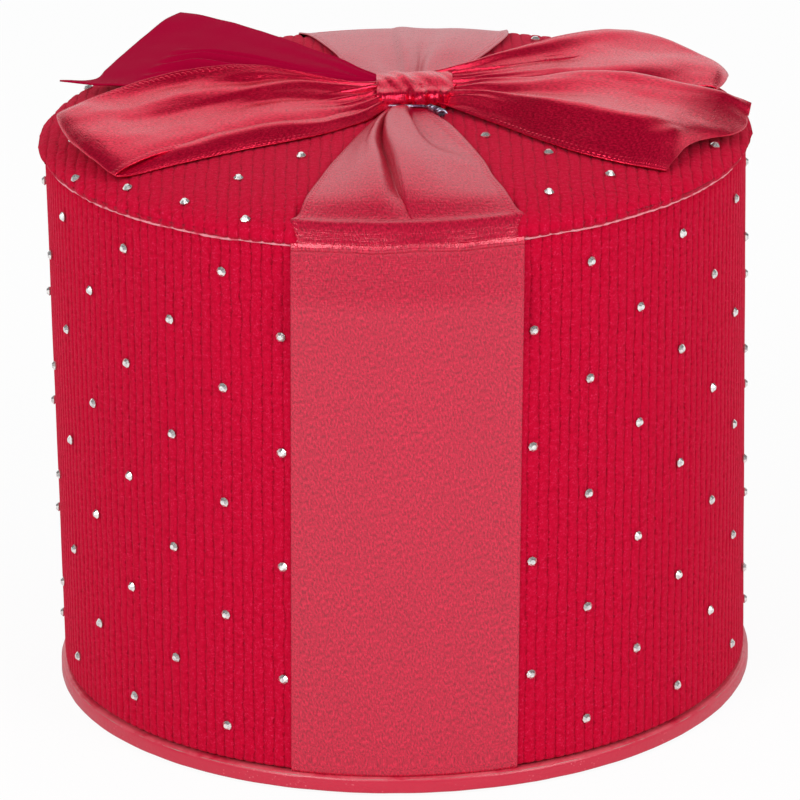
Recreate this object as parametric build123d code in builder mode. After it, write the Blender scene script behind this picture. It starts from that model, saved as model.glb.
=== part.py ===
from build123d import *
import os
from math import cos, floor, hypot, pi, radians, sin, sqrt

# A round keepsake box. The origin is the centre of its underside, +Z is up and the
# bow's front faces -Y. All lengths are in millimetres and all angles in degrees.

# Driving sizes of the whole box
wall_radius = 60.0
seam_height = 96.0
ribbon_width = 37.6
ribbon_thickness = 0.35
overrun = 5.0

# Base flange and inner tube
base_board_thickness = 2.3
base_overhang = 0.8
paper_thickness = 0.25
bottom_cover_thickness = 0.4
bottom_cover_inset = 3.3
turn_in_width = 14.0
inner_board_thickness = 1.8
lining_thickness = 0.2
floor_lining_thickness = 0.3
wrap_depth_inside = 12.0

# Lid carcass and its corduroy
cover_thickness = 1.4
lid_board_thickness = 1.6
hem_thickness = 0.8
hem_height = 12.5
hem_corner = 0.6
top_board_thickness = 2.0
top_board_rise = 0.4
skirt_thickness = 0.4
skirt_depth = 10.0
top_cover_thickness = 0.9
cover_slit = 0.4

# Padded top: a bulge over the seam, an elliptic shoulder and a gentle crown
bulge_overhang = 1.0
bulge_rise = 1.2
shoulder_run = 36.0
shoulder_rise = 5.1
crown_rise = 0.3

# Running gaps
lid_clearance = 0.6
hem_gap = 0.4
head_room = 3.0

# Stones: a lattice round the wall and a draped lattice on the top
stone_radius = 0.78
stone_height = 0.75
stone_table_share = 0.45
stone_sides = 8
wall_columns = 18
wall_row_pitch = 10.05
first_row_height = 9.8
top_pitch_across = 10.25
top_pitch_along = 9.0
top_first_across = -15.6
top_first_along = -29.5
draw_in_radius = 50.0
draw_in_share = 0.72
edge_stone_inset = 0.4

# Ribbon over the box, fanned out from its pinch under the bow
ribbon_lean_offset = 1.8
ribbon_tuck = 3.0
pinch_width = 8.0
pinch_length = 9.0
pinch_offset = 2.0
fan_shoulder = 37.0
fan_draw_in = 2.2
left_fan_bow = 2.4
right_fan_bow = 0.6
crease_radius = 1.5
knot_offset = 3.5

# Bow: two loops and two tails, each with the direction and reach of its run from the knot
bow_cloth = 0.5
waist_width = 6.0
waist_gap = 0.3
bow_lift = 5.0
bow_tilt = 15.0
fold_depth = 1.0
fold_radius = 1.0
fold_count = 2.5
loop_spread = 30.0
tail_spread = 34.0
left_loop_inset = 3.4
right_loop_inset = 10.4
left_tail_inset = 1.6
right_tail_inset = 7.0
left_loop_heading = 200.9
right_loop_heading = 22.0
left_tail_heading = 150.5
right_tail_heading = -21.6

# Knot strip and tie wire
knot_length = 13.0
knot_strip = 0.6
knot_seat = 0.15
knot_side_clearance = 0.5
knot_swell = 0.7
knot_corner = 1.2
knot_gathers = 5
wire_radius = 0.32
wire_clearance = 0.25
wire_lead = 9.0
wire_curl = 1.3

# Heights and radii worked out from the sizes above
base_top = bottom_cover_thickness + paper_thickness * 2 + base_board_thickness
base_radius = wall_radius + base_overhang
lid_outer = wall_radius - cover_thickness
lid_inner = lid_outer - lid_board_thickness
hem_inner = lid_inner - hem_thickness
hem_bottom = base_top + hem_gap
lid_bottom = hem_bottom + hem_thickness
lid_top = seam_height + top_board_rise
ceiling = lid_top - top_board_thickness - lining_thickness
wrap_outer = hem_inner - lid_clearance
inner_outer = wrap_outer - paper_thickness
inner_inner = inner_outer - inner_board_thickness
room_radius = inner_inner - lining_thickness
inner_top = ceiling - head_room - paper_thickness
skirt_outer = lid_outer + skirt_thickness
skirt_bottom = seam_height - skirt_depth
bulge_radius = wall_radius + bulge_overhang
bulge_height = seam_height + bulge_rise
shoulder_radius = bulge_radius - shoulder_run
shoulder_height = bulge_height + shoulder_rise
crown_height = shoulder_height + crown_rise
pinch_top = crown_height + ribbon_thickness
knot_bottom = pinch_top + knot_seat
mouth_reach = (knot_length + waist_gap) / 2
bore_width = waist_width + knot_side_clearance * 2
bore_height = bow_cloth * 3 + waist_gap * 4

parts_folder = "parts"
os.makedirs(parts_folder, exist_ok=True)


def save(piece, name):
    piece.label = name
    export_step(piece, f"{parts_folder}/{name}.step")


def pillow_height(radius):
    """Height of the padded top's cloth at a distance from the axis."""
    if radius <= shoulder_radius:
        return crown_height - crown_rise * (radius / shoulder_radius) ** 2
    along = min((radius - shoulder_radius) / shoulder_run, 1)
    return bulge_height + shoulder_rise * sqrt(1 - along**2)


def pillow_line(offset):
    """Draw the pillow's outline from its crown to its bulge, moved outwards by offset."""
    crown = (0, crown_height + offset)
    shoulder = (shoulder_radius, shoulder_height + offset)
    TangentArc(crown, shoulder, tangent=(1, 0))
    EllipticalCenterArc(
        (shoulder_radius, bulge_height),
        x_radius=shoulder_run + offset,
        y_radius=shoulder_rise + offset,
        arc_size=90,
    )


def lathe(points):
    """Turn a closed outline of radius and height pairs round the box's axis."""
    with BuildPart() as turned:
        with BuildSketch(Plane.XZ):
            with BuildLine():
                Polyline(*points, close=True)
            make_face()
        revolve(axis=Axis.Z)
    return turned.part


def ring(inner, outer, bottom, top):
    """A ring, or a disc where the inner radius is zero."""
    return lathe([(inner, bottom), (outer, bottom), (outer, top), (inner, top)])


# Base


def make_base():
    board_bottom = bottom_cover_thickness + paper_thickness
    board_radius = base_radius - paper_thickness
    board_top = board_bottom + base_board_thickness
    turn_in = base_radius - turn_in_width
    save(ring(0, board_radius, board_bottom, board_top), "base_board")
    wrap = [
        (0, board_top),
        (board_radius, board_top),
        (board_radius, board_bottom),
        (turn_in, board_bottom),
        (turn_in, bottom_cover_thickness),
        (base_radius, bottom_cover_thickness),
        (base_radius, base_top),
        (0, base_top),
    ]
    save(lathe(wrap), "base_wrap")
    save(ring(0, base_radius - bottom_cover_inset, 0, bottom_cover_thickness), "bottom_cover")


def make_inner_tube():
    save(ring(inner_inner, inner_outer, base_top, inner_top), "inner_tube")
    turned_in = inner_top - wrap_depth_inside
    wrap = [
        (inner_outer, base_top),
        (wrap_outer, base_top),
        (wrap_outer, inner_top + paper_thickness),
        (room_radius, inner_top + paper_thickness),
        (room_radius, turned_in),
        (inner_inner, turned_in),
        (inner_inner, inner_top),
        (inner_outer, inner_top),
    ]
    save(lathe(wrap), "inner_tube_wrap")
    lining_bottom = base_top + floor_lining_thickness
    save(ring(room_radius, inner_inner, lining_bottom, turned_in), "inner_lining")
    save(ring(0, inner_inner, base_top, lining_bottom), "floor_lining")


# Lid carcass


def make_lid_carcass():
    save(ring(lid_inner, lid_outer, lid_bottom, lid_top), "lid_tube")
    board_bottom = lid_top - top_board_thickness
    save(ring(0, lid_inner, board_bottom, lid_top), "lid_top_board")
    lining_radius = lid_inner - lining_thickness
    save(ring(lining_radius, lid_inner, hem_bottom + hem_height, ceiling), "lid_inner_lining")
    save(ring(0, lid_inner, ceiling, board_bottom), "lid_ceiling_lining")


def make_top_padding():
    bulge = (bulge_radius - top_cover_thickness, bulge_height)
    with BuildPart() as foam:
        with BuildSketch(Plane.XZ):
            with BuildLine():
                pillow_line(-top_cover_thickness)
                TangentArc(bulge, (lid_outer, lid_top), tangent=(0, -1))
                Line((lid_outer, lid_top), (0, lid_top))
                Line((0, lid_top), (0, crown_height - top_cover_thickness))
            make_face()
        revolve(axis=Axis.Z)
    save(foam.part, "lid_top_foam")


def make_top_cover():
    inner_bulge = (bulge_radius - top_cover_thickness, bulge_height)
    outer_bulge = (bulge_radius, bulge_height)
    with BuildPart() as cover:
        with BuildSketch(Plane.XZ):
            with BuildLine():
                pillow_line(0)
                TangentArc(outer_bulge, (wall_radius, seam_height), tangent=(0, -1))
                Polyline(
                    (wall_radius, seam_height),
                    (skirt_outer, seam_height),
                    (skirt_outer, skirt_bottom),
                    (lid_outer, skirt_bottom),
                    (lid_outer, lid_top),
                )
                TangentArc(inner_bulge, (lid_outer, lid_top), tangent=(0, -1))
                pillow_line(-top_cover_thickness)
                Line((0, crown_height - top_cover_thickness), (0, crown_height))
            make_face()
        revolve(axis=Axis.Z)
    save(cover.part, "lid_top_cover")


def make_wall_cover():
    hem_top = hem_bottom + hem_height
    with BuildPart() as cover:
        with BuildSketch(Plane.XZ):
            with BuildLine():
                Polyline(
                    (hem_inner, hem_bottom),
                    (wall_radius - hem_corner, hem_bottom),
                )
                JernArc(
                    (wall_radius - hem_corner, hem_bottom), tangent=(1, 0), radius=hem_corner, arc_size=90
                )
                Polyline(
                    (wall_radius, hem_bottom + hem_corner),
                    (wall_radius, seam_height),
                    (skirt_outer, seam_height),
                    (skirt_outer, skirt_bottom),
                    (lid_outer, skirt_bottom),
                    (lid_outer, lid_bottom),
                    (lid_inner, lid_bottom),
                    (lid_inner, hem_top),
                    (hem_inner, hem_top),
                    (hem_inner, hem_bottom),
                )
            make_face()
        revolve(axis=Axis.Z)
        slit_height = seam_height + overrun
        with BuildSketch(Plane.XY):
            with Locations((0, wall_radius)):
                Rectangle(cover_slit, cover_thickness * 2 + overrun * 2)
        extrude(amount=slit_height, mode=Mode.SUBTRACT)
    save(cover.part, "lid_wall_cover")


# Satin ribbon over the lid


def ribbon_skin(offset):
    """Turn the lid's outside, moved outwards by offset, into a solid."""
    foot = hem_bottom - offset
    with BuildPart() as skin:
        with BuildSketch(Plane.XZ):
            with BuildLine():
                pillow_line(offset)
                TangentArc(
                    (bulge_radius + offset, bulge_height),
                    (wall_radius + offset, seam_height),
                    tangent=(0, -1),
                )
                Polyline(
                    (wall_radius + offset, seam_height),
                    (wall_radius + offset, hem_bottom + hem_corner),
                )
                JernArc(
                    (wall_radius + offset, hem_bottom + hem_corner),
                    tangent=(0, -1),
                    radius=hem_corner + offset,
                    arc_size=-90,
                )
                Polyline(
                    (wall_radius - hem_corner, foot),
                    (0, foot),
                    (0, crown_height + offset),
                )
            make_face()
        revolve(axis=Axis.Z)
    return skin.part


def wall_band():
    """The ribbon's two upright stretches, leaning with the cloth's wales."""
    half = ribbon_width / 2
    with BuildPart() as band:
        with BuildSketch(Plane.XZ):
            with BuildLine():
                Polyline(
                    (-half, 0),
                    (half, 0),
                    (half + ribbon_lean_offset, seam_height),
                    (-half + ribbon_lean_offset, seam_height),
                    close=True,
                )
            make_face()
        extrude(amount=bulge_radius + overrun, both=True)
        with BuildSketch(Plane.XY):
            Rectangle(wall_radius * 2, (wall_radius - hem_corner - ribbon_tuck) * 2)
        extrude(amount=seam_height, mode=Mode.SUBTRACT)
    return band.part


def fan_corners(side, front):
    """The ribbon's plan edge on one side: its pinch, its shoulder and its place at the rim."""
    pinch = (pinch_offset + side * pinch_width / 2, front * pinch_length / 2)
    rim = (ribbon_lean_offset + side * ribbon_width / 2, front * wall_radius)
    shoulder = (rim[0] - side * fan_draw_in, front * fan_shoulder)
    return pinch, shoulder, rim


def fan_outline():
    """The ribbon's plan over the top: wide at both edges and pinched under the bow."""
    reach = bulge_radius + overrun
    for front in (-1, 1):
        for side, swell in ((-1, left_fan_bow), (1, right_fan_bow)):
            pinch, shoulder, rim = fan_corners(side, front)
            middle = ((pinch[0] + shoulder[0]) / 2 + side * swell, (pinch[1] + shoulder[1]) / 2)
            ThreePointArc(pinch, middle, shoulder)
            Line(shoulder, rim)
            Line(rim, (rim[0], front * reach))
        left_rim = fan_corners(-1, front)[2]
        right_rim = fan_corners(1, front)[2]
        Line((left_rim[0], front * reach), (right_rim[0], front * reach))
    for side in (-1, 1):
        Line(fan_corners(side, -1)[0], fan_corners(side, 1)[0])


# Each crease runs out from the pinch: its near end, its far end and its size at both,
# as shares of the pinch width, the wall radius and the crease radius
crease_shares = [
    (0.06, -0.115, 0.02, -0.84, 0.8, 0.5),
    (0.72, -0.160, 0.17, -0.50, 0.8, 0.5),
    (0.00, 0.110, -0.03, 0.84, 0.9, 0.5),
    (0.45, 0.110, 0.15, 0.82, 0.7, 0.4),
]
crease_stations = 5


def crease(near_across, near_along, far_across, far_along, near_size, far_size):
    start = (pinch_offset + near_across * pinch_width, near_along * wall_radius)
    run = (far_across * wall_radius - start[0], far_along * wall_radius - start[1], 0)
    with BuildPart() as ridge:
        for step in range(crease_stations):
            place = step / (crease_stations - 1)
            x = start[0] + run[0] * place
            y = start[1] + run[1] * place
            size = crease_radius * (near_size + (far_size - near_size) * place)
            with BuildSketch(Plane(origin=(x, y, pillow_height(hypot(x, y))), z_dir=run)):
                Circle(size)
        loft(ruled=True)
    return ridge.part


def make_cross_ribbon():
    with BuildPart() as band:
        with BuildSketch(Plane.XY.offset(seam_height)):
            with BuildLine():
                fan_outline()
            make_face()
        extrude(amount=crown_height)
        add(wall_band())
    with BuildPart() as ribbon:
        add(ribbon_skin(ribbon_thickness))
        add(band.part, mode=Mode.INTERSECT)
        for shares in crease_shares:
            add(crease(*shares))
        add(ribbon_skin(0), mode=Mode.SUBTRACT)
    save(ribbon.part, "cross_ribbon")


# Bow: each row gives a cross-section of a strip as shares of the run, the spread, the
# lift over the pillow, the tilt and the fold depth, from the knot outwards
left_loop_upper_shares = [
    (0.35, 0.53, 0.96, -0.87, 0.30),
    (0.60, 0.80, 0.94, -0.85, 0.35),
    (0.85, 0.93, 0.90, -0.66, 0.30),
]
left_loop_end_shares = (1.00, 1.00, 0.68, -0.47, 0.10)
left_loop_lower_shares = [
    (0.35, 0.53, 0.40, -0.05, 0.20),
    (0.60, 0.80, 0.36, -0.10, 0.20),
    (0.85, 0.93, 0.46, -0.20, 0.15),
]
right_loop_upper_shares = [
    (0.35, 0.43, 1.00, 0.90, 0.30),
    (0.60, 0.73, 0.94, 0.85, 0.35),
    (0.85, 0.87, 0.94, 0.70, 0.30),
]
right_loop_end_shares = (1.00, 0.90, 0.72, 0.55, 0.10)
right_loop_lower_shares = [
    (0.35, 0.43, 0.54, 0.10, 0.15),
    (0.60, 0.73, 0.42, 0.10, 0.20),
    (0.85, 0.87, 0.52, 0.30, 0.15),
]
left_tail_shares = [
    (0.35, 0.45, 0.28, -0.20, 0.25),
    (0.60, 0.70, 0.64, -0.50, 0.40),
    (0.85, 0.90, 0.96, -0.55, 0.40),
    (1.00, 0.97, 1.12, -0.47, 0.30),
]
right_tail_shares = [
    (0.35, 0.38, 0.30, 0.00, 0.25),
    (0.60, 0.68, 0.32, 0.15, 0.25),
    (0.85, 0.91, 0.42, 0.30, 0.25),
    (1.00, 0.97, 0.54, 0.40, 0.30),
]
waist_depth_share = 0.1
section_steps = 12
tail_layer, lower_layer, upper_layer = range(3)
up = Vector(0, 0, 1)


def direction(heading):
    return Vector(cos(radians(heading)), sin(radians(heading)), 0)


def strip_section(centre, along, across, width, depth):
    """One cross-section of a gathered strip: a wave across the cloth, with its thickness."""
    upper = []
    lower = []
    for step in range(section_steps + 1):
        place = step / section_steps - 1 / 2
        wave = depth * cos(2 * pi * fold_count * place)
        upper.append((place * width, wave + bow_cloth / 2))
        lower.append((place * width, wave - bow_cloth / 2))
    with BuildSketch(Plane(origin=centre, x_dir=across, z_dir=along)) as section:
        with BuildLine():
            Polyline(*lower, *reversed(upper), close=True)
        make_face()
    return section.sketch


def waist_section(side, reach, layer, inward=False):
    """A cross-section in the knot, where every layer is level and runs along X."""
    level = knot_bottom + knot_strip + waist_gap + bow_cloth / 2
    centre = Vector(knot_offset + side * reach, 0, level + layer * (bow_cloth + waist_gap))
    out = Vector(side, 0, 0)
    along = out * -1 if inward else out
    return strip_section(
        centre, along, up.cross(out), waist_width, fold_depth * waist_depth_share
    )


def strip_frame(heading, reach, row):
    """Centre, run direction and across direction of a strip at one row."""
    out = direction(heading)
    plan = Vector(knot_offset, 0, 0) + out * (reach * row[0])
    height = pillow_height(hypot(plan.X, plan.Y)) + bow_lift * row[2]
    across = up.cross(out).rotate(Axis((0, 0, 0), out), bow_tilt * row[3])
    return plan + up * height, out, across


def row_section(heading, reach, spread, row, inward=False, mirrored=False):
    centre, out, across = strip_frame(heading, reach, row)
    along = out * -1 if inward else out
    across = across * -1 if mirrored else across
    return strip_section(centre, along, across, spread * row[1], fold_depth * row[4])


def fold_sections(heading, reach, spread, row):
    """Turn the strip over the end of its loop."""
    centre, out, across = strip_frame(heading, reach, row)
    rise = out.cross(across)
    for angle in (90, 45, 0, -45, -90):
        turn_out = cos(radians(angle))
        turn_up = sin(radians(angle))
        place = centre + (out * turn_out + rise * turn_up) * fold_radius
        along = out * turn_up - rise * turn_out
        yield strip_section(place, along, across, spread * row[1], fold_depth * row[4])


def loop_sections(side, heading, reach, upper_rows, end_row, lower_rows):
    """All cross-sections of one loop, out over the top, round its end and back below."""
    yield waist_section(side, 0, upper_layer)
    yield waist_section(side, mouth_reach, upper_layer)
    for row in upper_rows:
        yield row_section(heading, reach, loop_spread, row)
    yield from fold_sections(heading, reach, loop_spread, end_row)
    for row in reversed(lower_rows):
        yield row_section(heading, reach, loop_spread, row, inward=True)
    yield waist_section(side, mouth_reach, lower_layer, inward=True)
    yield waist_section(side, 0, lower_layer, inward=True)


def make_bow_loops():
    with BuildPart() as loops:
        left = loop_sections(
            -1,
            left_loop_heading,
            bulge_radius - left_loop_inset,
            left_loop_upper_shares,
            left_loop_end_shares,
            left_loop_lower_shares,
        )
        loft(sections=list(left), ruled=True)
        right = loop_sections(
            1,
            right_loop_heading,
            bulge_radius - right_loop_inset,
            right_loop_upper_shares,
            right_loop_end_shares,
            right_loop_lower_shares,
        )
        loft(sections=list(right), ruled=True)
    save(loops.part, "bow_loops")


def make_bow_tails():
    left_reach = bulge_radius - left_tail_inset
    right_reach = bulge_radius - right_tail_inset
    sections = [
        row_section(left_tail_heading, left_reach, tail_spread, row, inward=True, mirrored=True)
        for row in reversed(left_tail_shares)
    ]
    sections.append(waist_section(1, -mouth_reach, tail_layer))
    sections.append(waist_section(1, mouth_reach, tail_layer))
    for row in right_tail_shares:
        sections.append(row_section(right_tail_heading, right_reach, tail_spread, row))
    with BuildPart() as tails:
        loft(sections=sections, ruled=True)
    save(tails.part, "bow_tails")


def make_bow_knot():
    """A gathered strip wrapped round the waist, swelling between its gathers."""
    rest = knot_bottom
    with BuildPart() as knot:
        for step in range(2 * knot_gathers + 1):
            place = step / (2 * knot_gathers) - 1 / 2
            swell = knot_swell * (step % 2)
            width = bore_width + 2 * (knot_strip + swell)
            height = bore_height + 2 * knot_strip + swell
            with BuildSketch(Plane.YZ.offset(knot_offset + place * knot_length)):
                with Locations((0, rest + height / 2)):
                    RectangleRounded(width, height, knot_corner)
        loft(ruled=True)
        with BuildSketch(Plane.YZ.offset(knot_offset)):
            with Locations((0, rest + knot_strip + bore_height / 2)):
                Rectangle(bore_width, bore_height)
        extrude(amount=knot_length, both=True, mode=Mode.SUBTRACT)
    save(knot.part, "bow_knot")


def make_tie_wire():
    """A wire along the knot's front foot, with its end curled back beside the knot."""
    foot = bore_width / 2 + knot_strip + knot_swell + wire_clearance + wire_radius
    level = pinch_top + wire_clearance + wire_radius
    start = (knot_offset - wire_lead / 2, -foot)
    with BuildPart() as wire:
        with BuildLine(Plane.XY.offset(level)) as path:
            Line(start, (start[0] + wire_lead, -foot))
            JernArc(path.line @ 1, tangent=path.line % 1, radius=wire_curl, arc_size=-180)
        with BuildSketch(Plane(origin=path.line @ 0, z_dir=path.line % 0)):
            Circle(wire_radius)
        sweep()
    save(wire.part, "tie_wire")


# Stones


def make_stone():
    with BuildPart() as stone:
        with BuildSketch():
            RegularPolygon(stone_radius, stone_sides)
        with BuildSketch(Plane.XY.offset(stone_height)):
            RegularPolygon(stone_radius * stone_table_share, stone_sides)
        loft(ruled=True)
    return stone.part


def wall_stone_places():
    """Planes of the wall's stones, row by row, without those that the ribbon covers."""
    rows = floor((seam_height - first_row_height) / wall_row_pitch) + 1
    column_angle = 2 * pi / wall_columns
    for row in range(rows):
        height = first_row_height + row * wall_row_pitch
        ribbon_middle = ribbon_lean_offset * height / seam_height
        lean = ribbon_middle / wall_radius
        for column in range(wall_columns):
            angle = (column + (row + 1) % 2 / 2) * column_angle + lean
            out = Vector(sin(angle), -cos(angle), 0)
            beside = abs(out.X * wall_radius - ribbon_middle)
            if beside > ribbon_width / 2 + stone_radius:
                yield Plane(origin=out * wall_radius + up * height, z_dir=out)


def pillow_normal(radius, out):
    """Outward normal of the padded top's cloth at a distance from the axis."""
    if radius <= shoulder_radius:
        return up + out * (2 * crown_rise * radius / shoulder_radius**2)
    along = (radius - shoulder_radius) / shoulder_run
    rise = sqrt(1 - along**2)
    return out * (along / shoulder_run) + up * (rise / shoulder_rise)


def under_fan(x, y):
    """Whether a stone at this place would lie under the fanned ribbon."""
    front = 1 if y > 0 else -1
    for side, swell in ((-1, left_fan_bow), (1, right_fan_bow)):
        pinch, shoulder, rim = fan_corners(side, front)
        if abs(y) > fan_shoulder:
            share = (abs(y) - fan_shoulder) / (wall_radius - fan_shoulder)
            edge = shoulder[0] + (rim[0] - shoulder[0]) * share
        else:
            share = abs(y) / fan_shoulder
            edge = pinch[0] + (shoulder[0] - pinch[0]) * share + side * swell * 4 * share * (1 - share)
        if side * (x - edge) > stone_radius:
            return False
    return True


def top_stone_places():
    """Planes of the top's stones: a flat lattice, drawn in where the cloth turns down."""
    limit = bulge_radius - edge_stone_inset
    count = floor(bulge_radius / min(top_pitch_across, top_pitch_along)) + 3
    for column in range(-count, count + 1):
        for row in range(-count, count + 1):
            if (column + row) % 2:
                continue
            x = top_first_across + column * top_pitch_across
            y = top_first_along + row * top_pitch_along
            walked = hypot(x, y)
            radius = walked
            if walked > draw_in_radius:
                radius = draw_in_radius + (walked - draw_in_radius) * draw_in_share
            if radius > limit or under_fan(x, y):
                continue
            out = Vector(x, y, 0) / walked
            origin = out * radius + up * pillow_height(radius)
            yield Plane(origin=origin, z_dir=pillow_normal(radius, out))


def make_stones(places, name):
    stone = make_stone()
    with BuildPart() as group:
        with Locations(*[place.location for place in places]):
            add(stone)
    save(group.part, name)


make_base()
make_inner_tube()
make_lid_carcass()
make_top_padding()
make_top_cover()
make_wall_cover()
make_cross_ribbon()
make_bow_loops()
make_bow_tails()
make_bow_knot()
make_tie_wire()
make_stones(wall_stone_places(), "wall_stones")
make_stones(top_stone_places(), "top_stones")
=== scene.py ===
from math import ceil, cos, exp, floor, hypot, pi, radians, sin, sqrt, tan

import bmesh
import bpy
from bpy.props import FloatProperty, FloatVectorProperty, PointerProperty
from mathutils import Matrix, Vector, noise
from mathutils.bvhtree import BVHTree


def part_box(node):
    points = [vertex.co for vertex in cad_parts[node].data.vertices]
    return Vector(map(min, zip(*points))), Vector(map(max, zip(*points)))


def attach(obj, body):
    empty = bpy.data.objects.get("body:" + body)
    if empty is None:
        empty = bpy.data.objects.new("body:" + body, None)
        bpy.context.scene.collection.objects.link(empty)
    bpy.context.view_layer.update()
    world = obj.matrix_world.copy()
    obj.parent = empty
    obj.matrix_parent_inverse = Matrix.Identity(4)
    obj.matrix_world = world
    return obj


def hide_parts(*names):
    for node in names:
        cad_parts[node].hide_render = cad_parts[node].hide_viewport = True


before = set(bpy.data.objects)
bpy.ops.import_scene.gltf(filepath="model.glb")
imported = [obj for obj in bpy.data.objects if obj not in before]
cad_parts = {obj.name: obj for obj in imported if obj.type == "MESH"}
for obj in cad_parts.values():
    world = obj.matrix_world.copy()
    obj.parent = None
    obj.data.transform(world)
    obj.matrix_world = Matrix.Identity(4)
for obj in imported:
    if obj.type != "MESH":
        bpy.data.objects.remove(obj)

bl_info = {
    "name": "Round Corduroy Gift Box",
    "version": (1, 0, 0),
    "blender": (4, 5, 0),
    "location": "View3D > Sidebar > Gift Box",
    "description": "Dresses a round keepsake box in corduroy, satin, stones and paper",
    "category": "Object",
}

mm = 0.001
UP = Vector((0, 0, 1))

# Places of the frame that the dressing follows
wall_low, wall_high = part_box("lid_wall_cover")
top_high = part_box("lid_top_cover")[1]
base_low, base_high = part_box("base_wrap")
knot_low, knot_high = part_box("bow_knot")
wall_radius = wall_high.x
seam_height = wall_high.z
hem_bottom = wall_low.z
bulge_radius = top_high.x
knot_across = (knot_low.x + knot_high.x) / 2
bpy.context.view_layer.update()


class GiftBoxSizes(bpy.types.PropertyGroup):
    wale_pitch: FloatProperty(
        name="Wale pitch", description="Width of one rib of the corduroy",
        default=1.866 * mm, unit="LENGTH",
    )
    wale_depth: FloatProperty(
        name="Wale depth", description="Depth of the grooves between ribs",
        default=0.26 * mm, unit="LENGTH",
    )
    wale_lean: FloatProperty(
        name="Wale lean", description="Sideways lean of the wall's cloth at the seam",
        default=1.7 * mm, unit="LENGTH",
    )
    wale_foot: FloatProperty(
        name="Wale foot", description="Sideways start of that lean at the hem",
        default=-0.5 * mm, unit="LENGTH",
    )
    seam_width: FloatProperty(
        name="Seam width", description="Height of the raw edge at the seam",
        default=0.55 * mm, unit="LENGTH",
    )
    ribbon_width: FloatProperty(
        name="Ribbon width", description="Width of the satin ribbon",
        default=37.6 * mm, unit="LENGTH",
    )
    bow_width: FloatProperty(
        name="Bow ribbon width", description="Width of the bow's own ribbon",
        default=31 * mm, unit="LENGTH",
    )
    knot_width: FloatProperty(
        name="Knot strip width", description="Width of the strip round the knot",
        default=24 * mm, unit="LENGTH",
    )
    satin_thickness: FloatProperty(
        name="Satin thickness", description="Thickness of the satin ribbon",
        default=0.3 * mm, unit="LENGTH",
    )
    gather_depth: FloatProperty(
        name="Gather depth", description="Depth of the bow's gathers at the knot",
        default=0.55 * mm, unit="LENGTH",
    )
    gather_reach: FloatProperty(
        name="Gather reach", description="Run over which those gathers fade",
        default=9 * mm, unit="LENGTH",
    )
    gather_count: FloatProperty(
        name="Gather count", description="Number of gathers across the ribbon at the knot",
        default=5.5,
    )
    tuck_depth: FloatProperty(
        name="Tuck depth", description="Depth of the tucks on the bow's hidden sides",
        default=1.6 * mm, unit="LENGTH",
    )
    tuck_count: FloatProperty(
        name="Tuck count", description="Number of tucks across a hidden side",
        default=8.0,
    )
    wire_radius: FloatProperty(
        name="Wire radius", description="Radius of the tie wire",
        default=0.3 * mm, unit="LENGTH",
    )


class GiftBoxColours(bpy.types.PropertyGroup):
    corduroy: FloatVectorProperty(
        name="Corduroy", description="Colour of the ribs",
        subtype="COLOR", size=4, default=(0.53, 0.0, 0.026, 1),
    )
    # Painted sheen: paler colour for the pile's tips, laid on the raised clumps
    corduroy_tip_sheen: FloatVectorProperty(
        name="Pile tips", description="Colour of the pile's tips",
        subtype="COLOR", size=4, default=(0.72, 0.02, 0.085, 1),
    )
    # Painted shade: the dark colour laid in the grooves between the ribs, where shade falls
    groove: FloatVectorProperty(
        name="Groove", description="Colour between the ribs",
        subtype="COLOR", size=4, default=(0.3, 0.0, 0.012, 1),
    )
    satin: FloatVectorProperty(
        name="Satin", description="Colour of the satin's face",
        subtype="COLOR", size=4, default=(0.53, 0.0, 0.034, 1),
    )
    satin_bow: FloatVectorProperty(
        name="Bow satin", description="Colour of the bow's face",
        subtype="COLOR", size=4, default=(0.68, 0.0, 0.04, 1),
    )
    satin_back: FloatVectorProperty(
        name="Satin back", description="Colour of the satin's dull side",
        subtype="COLOR", size=4, default=(0.36, 0.0, 0.03, 1),
    )
    thread: FloatVectorProperty(
        name="Raw edge", description="Colour of the frayed seam",
        subtype="COLOR", size=4, default=(0.86, 0.3, 0.36, 1),
    )
    paper: FloatVectorProperty(
        name="Gloss paper", description="Colour of the base's paper",
        subtype="COLOR", size=4, default=(0.55, 0.006, 0.04, 1),
    )
    lining: FloatVectorProperty(
        name="Lining", description="Colour of the inside paper",
        subtype="COLOR", size=4, default=(0.42, 0.006, 0.03, 1),
    )
    board: FloatVectorProperty(
        name="Greyboard", description="Colour of the board",
        subtype="COLOR", size=4, default=(0.36, 0.33, 0.29, 1),
    )
    metal: FloatVectorProperty(
        name="Wire", description="Colour of the tie wire",
        subtype="COLOR", size=4, default=(0.45, 0.42, 0.55, 1),
    )
    stone: FloatVectorProperty(
        name="Stones", description="Colour of the clear stones",
        subtype="COLOR", size=4, default=(0.93, 0.93, 0.9, 1),
    )


class GiftBoxStudio(bpy.types.PropertyGroup):
    ambient: FloatProperty(
        name="Ambient", description="Level of the room's light",
        default=0.62,
    )
    key_power: FloatProperty(
        name="Key lamp", description="Power of the front left lamp",
        default=4.4, unit="POWER",
    )
    fill_power: FloatProperty(
        name="Fill lamp", description="Power of the front right lamp",
        default=3.6, unit="POWER",
    )
    lens: FloatProperty(
        name="Lens", description="Focal length of the camera in millimetres",
        default=236.05,
    )
    camera_distance: FloatProperty(
        name="Camera distance", description="Level distance from the box's axis",
        default=0.8616, unit="LENGTH",
    )
    camera_height: FloatProperty(
        name="Camera height", description="Height above the table",
        default=0.3583, unit="LENGTH",
    )
    camera_pitch: FloatProperty(
        name="Camera pitch", description="Tilt below the horizon",
        default=radians(19.783), unit="ROTATION",
    )
    camera_roll: FloatProperty(
        name="Camera roll", description="Turn about the line of sight",
        default=radians(-1.065), unit="ROTATION",
    )


def sizes():
    return bpy.context.scene.gift_box_sizes


def colours():
    return bpy.context.scene.gift_box_colours


def studio():
    return bpy.context.scene.gift_box_studio


# Materials


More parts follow.
